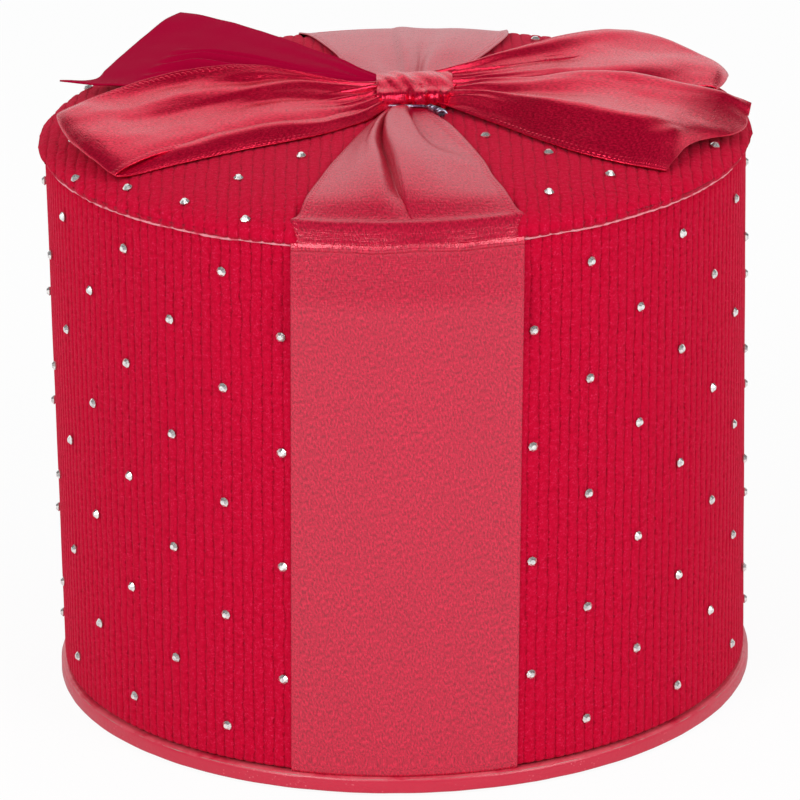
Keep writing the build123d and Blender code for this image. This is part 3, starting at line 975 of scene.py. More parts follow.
def ribbon_rows():
    """All rows of the ribbon, from its tucked end at the front to the one at the back."""
    half = sizes().ribbon_width / 2 / mm
    on_wall = wall_radius + 0.1 * mm
    stations = [
        (wall_radius - 2.6 * mm, hem_bottom - 0.3 * mm), (wall_radius - 0.5 * mm, hem_bottom - 0.28 * mm),
        (on_wall, hem_bottom + 0.7 * mm),
    ]
    straight = 6
    top = seam_height - 26 * mm
    for step in range(straight + 1):
        stations.append((on_wall, hem_bottom + 3 * mm + (top - hem_bottom - 3 * mm) * step / straight))
    for out, rise in ribbon_bend:
        stations.append((on_wall + out * mm, seam_height + rise * mm))
    wall = []
    for radius, height in stations:
        middle = sideways(height) / mm
        wall.append((radius, height, (middle - half, middle + half)))
    front = [wall_row(-1, *station) for station in wall]
    back = [wall_row(1, *station) for station in reversed(wall)]
    return front + [fan_row(*row) for row in fan_rows] + back


def rows_length(rows):
    """Running length along the middle of the rows, in metres, at each row."""
    middle = len(rows[0]) // 2
    lengths = [0.0]
    for before, after in zip(rows, rows[1:]):
        lengths.append(lengths[-1] + (after[middle] - before[middle]).length)
    return lengths


def sheet_from_rows(rows, width, columns, steps, relief):
    """A smooth sheet through rows of points. Its own map holds millimetres across and along."""
    lengths = rows_length(rows)
    columns_of = list(zip(*rows))
    cached = {}

    def line(v):
        key = round(v * steps)
        if key not in cached:
            cached[key] = [along_curve(column, v) for column in columns_of]
        return cached[key]

    def run(v):
        spot = v * (len(rows) - 1)
        step = min(int(spot), len(rows) - 2)
        return lengths[step] + (lengths[step + 1] - lengths[step]) * (spot - step)

    def place(u, v):
        spot = along_curve(line(v), u)
        return spot + relief(u, v, spot, run(v))

    def measure(u, v):
        return u * width / mm, run(v) / mm

    return cloth_grid(columns, steps, place, measure), lengths[-1]


class GIFTBOX_OT_cross_ribbon(bpy.types.Operator):
    """Run the wide satin ribbon up the front, over the top in folds and down the back"""

    bl_idname = "giftbox.cross_ribbon"
    bl_label = "Cross Ribbon"

    def execute(self, context):
        def relief(u, v, spot, run):
            on_top = clamped((spot.z - seam_height - mm) / (4 * mm))
            soft = 0.1 * mm * wobble(spot.x, spot.y, spot.z, 11 * mm) + 0.12 * mm
            jag = 0.1 * mm * wobble(spot.x, 0, 0, 0.8 * mm) + 0.35 * mm * wobble(spot.x, 0, 0, 7 * mm)
            crease = exp(-((spot.z - seam_height) / (1.1 * mm)) ** 2)
            return UP * (on_top * soft + crease * jag)

        rows = ribbon_rows()
        bm, length = sheet_from_rows(rows, sizes().ribbon_width, ribbon_columns, ribbon_steps, relief)
        face_up(bm, [face for face in bm.faces if face.calc_center_median().z > seam_height])
        piece = add_piece(
            "cross_ribbon_satin", bm, ["satin", "satin_back"], "lid", ["cross_ribbon"]
        )
        thicken(piece, sizes().satin_thickness, offset=1.0)
        return {"FINISHED"}


# Bow

strip_columns = 100
steps_between_rows = 13
strip_gap = 0.3 * mm


def section(front, lift, *panels):
    """Places and lifts from a strip's front edge back, over panels of a width and a slope in degrees."""
    places, lifts = [front], [lift]
    back = -1 if front > 0 else 1
    for width, slope in panels:
        places.append(places[-1] + back * width)
        lifts.append(lifts[-1] + width * tan(radians(slope)))
    return tuple(reversed(places)), tuple(reversed(lifts))


# Each row of a strip, in millimetres: its runs from the knot, its places across it and its
# lifts over the padded top. A single run, or a pair of places, stands for the whole row
left_loop_heading = 200.9
left_loop_upper = [
    (0, (-3.0, 3.0), (2.4,) * 11),
    (
        6, (-3.2, -2.7, -2.1, -1.5, -0.9, -0.3, 0.4, 1.2, 1.9, 2.6, 3.2),
        (2.4, 2.7, 2.8, 2.5, 2.3, 2.4, 2.3, 2.1, 2.0, 1.9, 1.7),
    ),
    (12, *section(
        6.0, 1.0, (1.3, 22), (1.3, 10), (1.3, 4), (1.1, 4), (1.1, 36), (1.1, 34), (0.8, 2), (0.7, 2),
        (0.4, 38), (0.2, 38),
    )),
    (20, *section(
        9.4, 1.1, (2.7, 18), (2.7, 10), (2.6, 4), (1.6, 4), (1.6, 34), (1.4, 32), (1.2, 2), (0.9, 2),
        (0.8, 38), (0.7, 38),
    )),
    (28, *section(
        9.7, 1.9, (2.1, 20), (2.6, 12), (2.5, 4), (2.4, 2), (1.2, 36), (1.2, 36), (1.9, 2), (1.8, 2),
        (1.4, 38), (2.0, 24),
    )),
    (38, *section(
        11.2, 1.5, (2.6, 16), (2.6, 8), (2.6, 4), (2.6, 2), (2.6, 4), (2.0, 26), (2.2, 20), (2.9, 2),
        (2.5, 2), (2.8, 26),
    )),
    (48, *section(
        12.2, 1.9, (2.8, 14), (2.8, 6), (2.8, 2), (2.8, 0), (2.8, 2), (2.4, 14), (2.4, 10), (2.8, 2),
        (2.7, 4), (2.8, 18),
    )),
    (
        (56, 56.3, 56.6, 56.8, 56.9, 56.9, 56.7, 56.4, 56, 55.6, 55.2),
        (-14.2, -12.6, -10.4, -7.8, -5.0, -2.0, 1.2, 4.6, 7.9, 11.0, 13.4),
        (4.7, 4.9, 4.8, 4.6, 4.3, 4.0, 3.7, 3.3, 2.9, 2.4, 1.9),
    ),
]
left_loop_lower = [
    (
        (59.6, 60.0, 60.4, 60.7, 60.9, 61, 60.8, 60.4, 59.8, 59.2, 58.4),
        (-14.0, -12.6, -10.7, -8.3, -5.6, -2.6, 0.6, 4.0, 7.4, 10.8, 13.6),
        (4.2, 4.2, 4.0, 3.8, 3.5, 3.1, 2.7, 2.3, 1.9, 1.5, 1.1),
    ),
    (
        (56.4, 56.7, 57, 57.2, 57.3, 57.3, 57.1, 56.8, 56.4, 56, 55.4),
        (-13.2, -11.8, -9.8, -7.4, -4.8, -1.8, 1.6, 5.4, 9.4, 12.6, 14.0),
        (3.2, 2.9, 2.5, 2.1, 1.8, 1.5, 1.3, 1.2, 1.3, 1.0, 0.1),
    ),
    (
        48, (-11.0, -9.6, -7.8, -5.6, -3.0, 0.0, 3.4, 7.6, 11.4, 13.2, 14.5),
        (2.2, 1.8, 1.5, 1.3, 1.2, 1.2, 1.2, 1.6, 2.0, 1.3, 0.1),
    ),
    (
        38, (-9.0, -7.6, -6.0, -4.0, -1.6, 1.2, 4.4, 8.0, 10.9, 12.6, 14.1),
        (1.8, 1.6, 1.4, 1.2, 1.2, 1.2, 1.2, 1.8, 2.2, 1.4, 0.1),
    ),
    (
        28, (-7.0, -5.8, -4.4, -2.6, -0.4, 2.0, 4.6, 7.2, 9.8, 11.5, 13.1),
        (1.7, 1.5, 1.4, 1.2, 1.2, 1.2, 1.3, 1.9, 2.35, 1.45, 0.1),
    ),
    (
        20, (-5.5, -4.4, -3.2, -1.8, 0.0, 2.0, 4.2, 6.4, 9.2, 10.4, 11.4),
        (1.7, 1.5, 1.4, 1.2, 1.2, 1.2, 1.3, 1.4, 1.6, 1.05, 0.1),
    ),
    (
        12, (-4.0, -3.2, -2.4, -1.4, -0.2, 1.1, 2.6, 4.2, 5.8, 7.1, 8.0),
        (1.6, 1.5, 1.4, 1.4, 1.3, 1.3, 1.3, 1.3, 1.3, 0.9, 0.2),
    ),
    (
        6, (-3.0, -2.4, -1.8, -1.2, -0.5, 0.2, 1.0, 1.8, 2.6, 3.3, 3.8),
        (1.6, 1.6, 1.5, 1.5, 1.4, 1.4, 1.4, 1.4, 1.4, 1.2, 0.6),
    ),
    (0, (-3.0, 3.0), (1.4,) * 11),
]
right_loop_heading = 22.0
right_loop_upper = [
    (0, (3.0, -3.0), (2.8,) * 9),
    (6, (3.4, 2.8, 2.2, 1.4, 0.4, -0.8, -1.8, -2.6, -3.3), (3.4, 3.3, 3.1, 2.9, 2.9, 2.8, 2.5, 2.3, 2.1)),
    (12, *section(
        -4.8, 1.6, (0.7, 45), (1.2, 34), (1.3, 4), (1.5, -2), (1.3, 0), (1.2, 6), (1.0, 36), (0.8, 20),
    )),
    (20, *section(
        -7.2, 1.3, (1.0, 45), (1.7, 34), (2.0, 5), (2.4, -3), (2.0, 0), (1.9, 8), (1.5, 34), (1.1, 10),
    )),
    (28, *section(
        -9.2, 0.9, (1.2, 42), (2.2, 32), (2.6, 5), (3.2, -4), (2.6, 0), (2.4, 10), (2.2, 28), (1.6, 8),
    )),
    (38, *section(
        -11.2, 0.6, (1.4, 42), (2.4, 34), (3.4, 6), (4.2, -3), (3.6, 2), (3.4, 8), (3.0, 18), (2.2, 4),
    )),
    (
        (45, 46.2, 47.6, 49, 50.2, 50, 49, 47.5, 46), (12.6, 10.6, 8.0, 5.0, 1.6, -2.0, -5.8, -9.2, -12.0),
        (5.2, 5.2, 4.7, 4.1, 3.7, 3.5, 3.0, 2.3, 1.4),
    ),
    (
        (47.2, 49.4, 51.2, 53.0, 54.8, 55.6, 54.2, 52.0, 49.8),
        (12.8, 10.4, 7.4, 3.9, 0.7, -2.4, -6.2, -9.6, -12.4),
        (5.1, 5.1, 4.8, 4.4, 4.1, 3.9, 3.4, 2.7, 2.0),
    ),
]
right_loop_lower = [
    (
        (48.0, 50.5, 52.4, 54.4, 56.4, 57.8, 56.0, 53.6, 51.0),
        (12.6, 10.0, 7.0, 3.5, 0.5, -2.6, -6.4, -9.8, -12.6),
        (4.6, 4.5, 4.2, 3.8, 3.5, 3.2, 2.6, 2.1, 1.7),
    ),
    (
        (46.6, 48.6, 50.4, 52.2, 54.0, 55.0, 53.8, 51.8, 49.6),
        (12.0, 9.4, 6.6, 3.2, 0.2, -2.8, -6.2, -9.6, -12.4),
        (3.2, 3.0, 2.8, 2.5, 2.3, 2.1, 1.8, 1.6, 1.3),
    ),
    (
        (41, 43, 45, 46.5, 47.6, 48, 47.4, 46.4, 45), (10.4, 8.0, 5.6, 3.0, 0.2, -2.8, -6.0, -9.0, -11.6),
        (2.2, 2.1, 2.0, 1.8, 1.7, 1.6, 1.4, 1.2, 1.1),
    ),
    (36, (8.8, 6.8, 4.8, 2.5, 0.0, -2.8, -5.6, -8.2, -10.4), (1.7, 1.7, 1.6, 1.5, 1.5, 1.4, 1.3, 1.2, 1.1)),
    (28, (7.0, 5.4, 3.8, 2.0, 0.0, -2.2, -4.6, -6.8, -8.6), (2.0, 1.9, 1.8, 1.7, 1.6, 1.5, 1.4, 1.3, 1.1)),
    (20, (5.4, 4.2, 3.0, 1.6, 0.0, -1.8, -3.6, -5.4, -6.8), (2.0, 1.9, 1.8, 1.7, 1.7, 1.6, 1.5, 1.4, 1.2)),
    (12, (4.0, 3.1, 2.2, 1.2, 0.1, -1.1, -2.4, -3.7, -4.7), (2.0, 2.0, 1.9, 1.9, 1.9, 1.8, 1.7, 1.6, 1.4)),
    (6, (3.0, -3.0), (2.0,) * 9),
    (0, (3.0, -3.0), (1.9,) * 9),
]
left_tail_heading = 150.5
left_tail_rows = [
    (0, (-3.0, 3.0), (1.0,) * 9),
    (6, (-3.2, 3.2), (1.6, 1.4, 1.3, 1.2, 1.2, 1.1, 1.0, 0.9, 0.8)),
    (12, (-4.5, 5.0), (2.6, 2.3, 2.0, 1.8, 1.6, 1.4, 1.3, 1.1, 0.9)),
    (20, (-7.2, 8.0), (3.4, 3.1, 2.8, 2.5, 2.2, 1.9, 1.6, 1.3, 1.0)),
    (30, (-10.0, 11.0), (4.3, 3.9, 3.5, 3.3, 3.1, 2.5, 2.0, 1.5, 1.1)),
    (40, (-12.8, 13.0), (5.1, 4.6, 4.1, 3.8, 3.6, 2.9, 2.2, 1.6, 1.1)),
    (50, (-15.2, 14.6), (6.4, 5.6, 4.8, 4.2, 3.8, 3.0, 2.2, 1.6, 1.5)),
    (
        (57.0, 57.4, 57.8, 58.1, 58.1, 58.0, 57.6, 57.4, 61.8),
        (-16.7, -12.8, -8.8, -4.6, -0.5, 3.6, 7.8, 11.8, 16.0),
        (7.3, 6.8, 5.9, 4.9, 4.0, 3.1, 2.4, 2.0, 4.2),
    ),
]
right_tail_heading = -21.6
right_tail_rows = [
    (0, (3.0, -3.0), (0.8,) * 11),
    (
        6, (3.4, 2.6, 1.8, 1.0, 0.2, -0.6, -1.4, -2.0, -2.5, -3.0, -3.6),
        (1.6, 2.2, 2.1, 1.6, 1.7, 2.1, 2.2, 1.8, 1.3, 0.9, 0.5),
    ),
    (12, *section(
        -6.2, 0.3, (1.2, 44), (1.2, 44), (0.9, 36), (0.8, -15), (1.0, -20), (0.9, -5), (0.8, 30),
        (1.2, 26), (1.2, 8), (1.0, -30),
    )),
    (20, *section(
        -10.2, 0.2, (1.6, 40), (1.7, 40), (1.7, 38), (1.4, -8), (1.4, -14), (1.3, -4), (1.3, 20),
        (1.7, 20), (2.0, 4), (1.7, -38),
    )),
    (28, *section(
        -14.8, 0.2, (2.0, 39), (2.1, 39), (2.1, 39), (2.2, -6), (2.4, -10), (2.2, -4), (2.6, 14),
        (2.8, 16), (3.0, 6), (3.0, -25),
    )),
    (36, *section(
        -18.1, 0.2, (2.5, 36), (2.5, 36), (2.5, 36), (2.9, -3), (3.0, -6), (3.2, -6), (3.2, 2),
        (3.6, 10), (3.6, 12), (3.1, -24),
    )),
    (44, *section(
        -18.8, 0.2, (2.6, 36), (2.6, 36), (2.6, 34), (3.4, -6), (3.5, -8), (3.6, -6), (3.6, 0),
        (3.7, 6), (3.8, 8), (3.6, -18),
    )),
    (
        (50.6, 50.8, 50.8, 50.8, 50.8, 50.8, 50.6, 50, 49.4, 49, 48.6),
        (15.2, 13.4, 11.2, 8.6, 5.6, 2.2, -2.0, -6.4, -10.6, -14.4, -18.0),
        (4.3, 5.0, 4.4, 3.7, 3.3, 3.2, 3.5, 4.0, 4.4, 2.5, 0.2),
    ),
    (
        (55.0, 55.2, 55.3, 55.6, 56.3, 56.3, 55.6, 53.3, 51.9, 51.4, 51.0),
        (16.5, 15.2, 14.0, 12.4, 9.8, 6.6, 3.0, -2.2, -8.6, -13.6, -17.2),
        (4.8, 4.0, 3.0, 2.9, 2.5, 2.1, 1.7, 1.6, 2.0, 1.3, 0.2),
    ),
]


def strip_row(heading, runs, places, lifts):
    """Points across a strip of the bow, laid over the padded top."""
    out = Vector((cos(radians(heading)), sin(radians(heading)), 0))
    across = UP.cross(out)
    last = len(lifts) - 1
    row = []
    for step, lift in enumerate(lifts):
        run = runs[step] if isinstance(runs, tuple) else runs
        place = places[step] if len(places) > 2 else places[0] + (places[1] - places[0]) * step / last
        spot = Vector((knot_across, 0, 0)) + (out * run + across * place) * mm
        row.append(spot + UP * (top_height(spot.x, spot.y) + lift * mm + strip_gap))
    return row


def under_loop(u, v):
    """Where a loop's lower layer bunches up, clear of its rolled front edge."""
    start = clamped((v - 0.52) / 0.06)
    end = clamped((1 - v) / 0.08)
    return start * end * max(sin(pi * min(u / 0.72, 1)), 0) ** 0.6 * (1.25 - u)


def behind_loop(u, v):
    """Where the left tail bunches up behind its loop."""
    return max(sin(pi * clamped((u - 0.42) / 0.56)), 0) ** 0.6 * clamped((0.84 - v) / 0.12)


def nowhere(u, v):
    return 0


def gathers(heading, phase, hidden):
    """Folds that spread out from the knot, tucks where the cloth is hidden and soft dents."""
    size = sizes()
    out = Vector((cos(radians(heading)), sin(radians(heading)), 0))

    def relief(u, v, spot, run):
        reach = (spot - Vector((knot_across, 0, spot.z))).dot(out)
        fade = exp(-max(reach - 4 * mm, 0) / size.gather_reach)
        fold = size.gather_depth * fade * cos(2 * pi * size.gather_count * (u + 0.03 * sin(9 * u)) + phase)
        tuck = size.tuck_depth * hidden(u, v) * (0.25 + cos(2 * pi * size.tuck_count * u + phase))
        dents = 0.3 * mm * wobble(spot.x, spot.y, spot.z, 9 * mm) * (1 - fade)
        dents += 0.1 * mm * wobble(spot.y, spot.x, spot.z, 3.5 * mm)
        clear = max(spot.z - top_height(spot.x, spot.y) - strip_gap, 0)
        return UP * max(fold + tuck + dents * min(clear / mm, 1), -clear)

    return relief


def make_strip(name, rows, heading, phase, node, hidden, face):
    """One strip of the bow as a sheet of satin."""
    width = sizes().bow_width
    steps = steps_between_rows * (len(rows) - 1)
    bm, length = sheet_from_rows(rows, width, strip_columns, steps, gathers(heading, phase, hidden))
    face_up(bm, list(bm.faces)[: len(bm.faces) // 3])
    piece = add_piece(name, bm, [face, "satin_bow"], "lid", [node])
    thicken(piece, sizes().satin_thickness, offset=0.0)


class GIFTBOX_OT_bow(bpy.types.Operator):
    """Shape the bow's two loops and two tails from gathered satin"""

    bl_idname = "giftbox.bow"
    bl_label = "Bow"

    def execute(self, context):
        left_loop = left_loop_upper + left_loop_lower
        right_loop = right_loop_upper + right_loop_lower
        strips = (
            ("bow_left_loop", left_loop_heading, left_loop, 0.4, "bow_loops", under_loop, "satin_bow"),
            ("bow_right_loop", right_loop_heading, right_loop, 2.1, "bow_loops", under_loop, "satin_bow"),
            ("bow_left_tail", left_tail_heading, left_tail_rows, 1.2, "bow_tails", behind_loop, "satin_back"),
            ("bow_right_tail", right_tail_heading, right_tail_rows, 3.0, "bow_tails", nowhere, "satin_bow"),
        )
        for name, heading, table, phase, node, hidden, face in strips:
            rows = [strip_row(heading, *row) for row in table]
            make_strip(name, rows, heading, phase, node, hidden, face)
        return {"FINISHED"}


# Knot

knot_columns = 180
knot_steps = 130
knot_thinning = 0.6
# Its section, as places along Y and heights over the ribbon under it, in millimetres
knot_section = [
    (-3.4, -0.3), (-4.7, 0.0), (-5.1, 0.8), (-4.9, 1.6), (-4.2, 2.2), (-2.6, 2.5), (-0.6, 2.9), (1.8, 3.1),
    (3.9, 3.0), (5.0, 2.2), (5.0, 1.0), (3.8, 0.1),
]
# Across the knot: shares of half its length, and how far each lies inside it, in millimetres
knot_layers = [
    (-0.2, 0.75), (-0.5, 0.75), (-0.8, 0.7), (-0.97, 0.45), (-1.0, 0.1), (-0.93, 0.0), (-0.75, 0.0),
    (-0.5, 0.0),
    (-0.25, 0.0), (0.0, 0.0), (0.25, 0.0), (0.5, 0.0), (0.75, 0.0), (0.93, 0.0), (1.0, 0.1), (0.97, 0.45),
    (0.8, 0.7), (0.5, 0.75), (0.2, 0.75),
]


class GIFTBOX_OT_knot(bpy.types.Operator):
    """Wrap the gathered strip of satin round the middle of the bow, its edges turned under"""

    bl_idname = "giftbox.knot"
    bl_label = "Knot"

    def execute(self, context):
        half = (knot_high.x - knot_low.x) / 2
        base = knot_low.z + 0.3 * mm
        middle = Vector((0, 0, base + 1.4 * mm))
        rows = []
        for along, rise in knot_section:
            row = []
            for share, inset in knot_layers:
                spot = Vector((0, along * mm, base + rise * mm))
                inward = (middle - spot).normalized()
                spot += inward * (inset + 0.25 * abs(share) ** 3) * mm
                row.append(spot + Vector((knot_across + share * half, 0, 0)))
            rows.append(row)

        def relief(u, v, spot, run):
            seen = clamped((0.38 - abs(u - 0.5)) / 0.1)
            crest = exp(-((spot.y + 4.5 * mm) / (1.2 * mm)) ** 2)
            front = clamped((-spot.y - 4.6 * mm) / (0.4 * mm))
            broad = 0.35 * wobble(spot.x, 7 * mm, spot.y * 0.4, 4.6 * mm)
            wrinkles = 0.5 * wobble(spot.x + 0.5 * spot.y, spot.y * 0.25, 3 * mm, 1.9 * mm)
            zigzag = 1.3 * wobble(spot.x, 0, 11 * mm, 1.9 * mm) + 0.6 * wobble(spot.x, 0, 5 * mm, 0.8 * mm)
            folds = 0.7 * wobble(spot.x, 0, 9 * mm, 2.4 * mm)
            outward = (spot - Vector((spot.x, middle.y, middle.z))).normalized()
            tuck = 0.8 * (1 - seen) * cos(40 * u)
            depth = 0.5 + broad + wrinkles * (1 - crest) * (1 - front) + zigzag * crest + folds * front
            return outward * (seen * max(depth, -0.2) + tuck) * mm

        bm, over = sheet_from_rows(rows, sizes().knot_width, knot_columns, knot_steps, relief)
        face_up(bm, [face for face in bm.faces if face.calc_center_median().z > base + 2.7 * mm])
        piece = add_piece(
            "bow_knot_strip", bm, ["satin_bow", "satin_bow"], "lid", ["bow_knot"]
        )
        thicken(piece, sizes().satin_thickness * knot_thinning, offset=-1.0)
        return {"FINISHED"}


# Tie wire: places in millimetres across, along and over the ribbon, then its twisted end
wire_route = [
    (-1.8, -5.0, 0.2), (-0.4, -5.9, 0.3), (1.4, -6.5, 0.4), (3.2, -6.9, 0.5), (4.8, -7.4, 0.6),
    (5.8, -8.2, 0.7),
]
wire_twist_end = (8.2, -12.4, 0.7)


class GIFTBOX_OT_tie_wire(bpy.types.Operator):
    """Bend the thin wire that ties the bow, with its two ends twisted together"""

    bl_idname = "giftbox.tie_wire"
    bl_label = "Tie Wire"

    def execute(self, context):
        radius = sizes().wire_radius
        lead = [Vector(point) for point in wire_route]
        start, end = lead[-1], Vector(wire_twist_end)
        run = end - start
        side = run.cross(UP).normalized()
        curve = bpy.data.curves.new("tie_wire_twisted", "CURVE")
        curve.dimensions = "3D"
        curve.bevel_depth = radius
        curve.bevel_resolution = 3
        curve.use_fill_caps = True
        turns = 2.5
        steps = 24
        for hand in (0, 1):
            route = list(lead) if hand == 0 else [lead[-1] + run * -0.1]
            for step in range(1, steps + 1):
                share = step / steps
                turn = 2 * pi * turns * share + pi * hand
                spread = 0.36 + 0.25 * share
                route.append(start + run * share + (side * cos(turn) + UP * sin(turn)) * spread)
            spline = curve.splines.new("NURBS")
            spline.points.add(len(route) - 1)
            for point, spot in zip(spline.points, route):
                x, y = spot.x * mm, spot.y * mm
                point.co = (x, y, top_height(x, y) + (spot.z + 0.75) * mm, 1)
            spline.order_u = 3
            spline.use_endpoint_u = True
            spline.resolution_u = 4
        curve.materials.append(finish_of("wire"))
        piece = bpy.data.objects.new("tie_wire_twisted", curve)
        context.scene.collection.objects.link(piece)
        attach(piece, "lid")
        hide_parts("tie_wire")
        return {"FINISHED"}


# Stones

stone_sides = 8
# Rings of a cut stone, from its foot up: radius in millimetres and share of its height
stone_rings = ((0.62, 0.0), (0.82, 0.28), (0.84, 0.42), (0.42, 1.0))


def stone_places(node, axis_of):
    """Where each stone of a CAD node stands on its cloth, and which way it faces."""
    bm = bmesh.new()
    bm.from_mesh(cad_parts[node].data)
    bmesh.ops.remove_doubles(bm, verts=bm.verts, dist=solid_weld)
    left = set(bm.verts)
    places = []
    while left:
        found = {left.pop()}
        newest = list(found)
        while newest:
            vert = newest.pop()
            near = {edge.other_vert(vert) for edge in vert.link_edges} & left
            found |= near
            left -= near
            newest.extend(near)
        middle = sum((vert.co for vert in found), Vector()) / len(found)
        axis = axis_of(middle)
        heights = [(vert.co - middle).dot(axis) for vert in found]
        places.append((middle + axis * min(heights), axis, max(heights) - min(heights)))
    bm.free()
    return places


def outward_of_wall(spot):
    return Vector((spot.x, spot.y, 0)).normalized()


def outward_of_top(spot):
    return top_surface.find_nearest(spot)[1]


def cut_stone(bm, foot, axis, height, turn):
    """One faceted stone: a girdle, eight sloping facets and a flat table, tilted a little."""
    tilt = Vector((wobble(foot.x, foot.y, foot.z, mm), wobble(foot.z, foot.x, foot.y, mm), 0.1)) * 0.25
    frame_of = (axis + tilt * 0.5).to_track_quat("Z", "X").to_matrix().to_4x4()
    place = Matrix.Translation(foot) @ frame_of @ Matrix.Rotation(turn, 4, "Z")
    foot_radius = stone_rings[0][0] * mm
    made = bmesh.ops.create_circle(bm, cap_ends=False, segments=stone_sides, radius=foot_radius)
    bmesh.ops.transform(bm, matrix=place, verts=made["verts"])
    ring = list({edge for vert in made["verts"] for edge in vert.link_edges})
    centre = foot
    for (inner, low), (outer, high) in zip(stone_rings, stone_rings[1:]):
        grown = bmesh.ops.extrude_edge_only(bm, edges=ring)["geom"]
        verts = [item for item in grown if isinstance(item, bmesh.types.BMVert)]
        bmesh.ops.scale(bm, vec=Vector.Fill(3, outer / inner), space=Matrix.Translation(-centre), verts=verts)
        rise = place.to_3x3() @ Vector((0, 0, (high - low) * height))
        bmesh.ops.translate(bm, vec=rise, verts=verts)
        centre = centre + rise
        ring = [item for item in grown if isinstance(item, bmesh.types.BMEdge) and item.is_boundary]
    bmesh.ops.contextual_create(bm, geom=ring)


class GIFTBOX_OT_stones(bpy.types.Operator):
    """Set a cut stone at each place that the frame gives"""

    bl_idname = "giftbox.stones"
    bl_label = "Stones"

    def execute(self, context):
        for name, node, axis_of in (
            ("wall_cut_stones", "wall_stones", outward_of_wall),
            ("top_cut_stones", "top_stones", outward_of_top),
        ):
            bm = bmesh.new()
            for foot, axis, height in stone_places(node, axis_of):
                cut_stone(bm, foot, axis, height, 2.4 * foot.x / mm)
            bmesh.ops.recalc_face_normals(bm, faces=bm.faces)
            add_piece(name, bm, ["stone"], "lid", [node], smooth=False)
        return {"FINISHED"}


# Base and insides


class GIFTBOX_OT_base(bpy.types.Operator):
    """Cover the base's board in glossy paper with soft edges"""

    bl_idname = "giftbox.base"
    bl_label = "Base"

    def execute(self, context):
        radius = base_high.x
        low, high = base_low.z, base_high.z
        shoulder = 0.9 * mm
        round_off = 0.45 * mm
        profile = [(0, high), (radius * 0.5, high), (radius - 4 * mm, high)]
        for step in range(7):
            turn = pi / 2 - step * pi / 12
            profile.append((radius - shoulder + shoulder * cos(turn), high - shoulder + shoulder * sin(turn)))
        for step in range(7):
            turn = -step * pi / 12
            profile.append(
                (radius - round_off + round_off * cos(turn), low + round_off + round_off * sin(turn))
            )
        profile += [(radius - 6 * mm, low), (radius - 14 * mm, low), (radius - 14 * mm, low + 0.2 * mm)]
        bm = turned(profile, 288)
        for vert in bm.verts:
            if hypot(vert.co.x, vert.co.y) > radius - 5 * mm:
                vert.co.z += 0.07 * mm * wobble(vert.co.x, vert.co.y, 0, 5 * mm)
                lumps = 0.06 * mm * wobble(vert.co.x, vert.co.y, vert.co.z * 4, 3 * mm)
                vert.co += Vector((vert.co.x, vert.co.y, 0)).normalized() * lumps
        add_piece("base_paper", bm, ["gloss_paper"], "base", ["base_wrap"])
        return {"FINISHED"}


class GIFTBOX_OT_plain_finishes(bpy.types.Operator):
    """Give the frame's boards and plain papers their own finishes"""

    bl_idname = "giftbox.plain_finishes"
    bl_label = "Boards and Papers"

    def execute(self, context):
        wanted = {
            "board": ["base_board", "inner_tube", "lid_tube", "lid_top_board"],
            "lining": [
                "bottom_cover", "inner_tube_wrap", "inner_lining", "floor_lining", "lid_inner_lining",
                "lid_ceiling_lining",
            ],
        }
        for name, nodes in wanted.items():
            for node in nodes:
                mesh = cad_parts[node].data
                mesh.materials.clear()
                mesh.materials.append(finish_of(name))
        return {"FINISHED"}


# Studio

lamp_width = 0.45
key_place = Vector((-0.5, -0.75, 0.7))
fill_place = Vector((0.62, -0.66, 0.64))
floor_reach = 3.0
softbox_level = 2.8
unlit_level = 0.03


def paint_world(world, ambient):
    """A white backdrop behind, low at its sides, a softbox high in front, a dim room and even light."""
    world.use_nodes = True
    tree = world.node_tree

    def ramp(source, start, end, low, high):
        made = tree.nodes.new("ShaderNodeMapRange")
        made.interpolation_type = "SMOOTHSTEP"
        for socket, value in zip(("From Min", "From Max", "To Min", "To Max"), (start, end, low, high)):
            made.inputs[socket].default_value = value
        tree.links.new(source, made.inputs["Value"])
        return made.outputs[0]

    def mixed(share, first, second):
        made = tree.nodes.new("ShaderNodeMix")
        for socket, value in ((0, share), (2, first), (3, second)):
            if isinstance(value, float):
                made.inputs[socket].default_value = value
            else:
                tree.links.new(value, made.inputs[socket])
        return made.outputs[0]

    sky = tree.nodes["Background"]
    sky.inputs["Color"].default_value = (1, 1, 1, 1)
    path = tree.nodes.new("ShaderNodeLightPath")
    place = tree.nodes.new("ShaderNodeTexCoord")
    split = tree.nodes.new("ShaderNodeSeparateXYZ")
    tree.links.new(place.outputs["Generated"], split.inputs["Vector"])
    width = tree.nodes.new("ShaderNodeMath")
    width.operation = "ABSOLUTE"
    tree.links.new(split.outputs["X"], width.inputs[0])
    height = split.outputs["Z"]
    beside = ramp(width.outputs[0], 0.28, 0.42, 0.0, 1.0)
    backdrop = ramp(height, 0.81, 0.93, 1.0, unlit_level)
    behind = mixed(mixed(beside, 0.0, ramp(height, 0.15, 0.4, 0.0, 1.0)), backdrop, unlit_level)
    dim = ramp(height, 0.3, 0.55, 0.22, 0.04)
    softbox_foot = ramp(height, 0.54, 0.62, 0.0, 1.0)
    softbox_head = ramp(height, 0.65, 0.72, 0.0, 1.0)
    before = mixed(softbox_head, mixed(softbox_foot, dim, softbox_level), unlit_level)
    gloss = mixed(ramp(split.outputs["Y"], -0.35, 0.15, 0.0, 1.0), before, behind)
    shiny = tree.nodes.new("ShaderNodeMath")
    shiny.operation = "MAXIMUM"
    tree.links.new(path.outputs["Is Glossy Ray"], shiny.inputs[0])
    tree.links.new(path.outputs["Is Transmission Ray"], shiny.inputs[1])
    seen = mixed(shiny.outputs[0], float(ambient), gloss)
    tree.links.new(mixed(path.outputs["Is Camera Ray"], seen, 1.0), sky.inputs["Strength"])


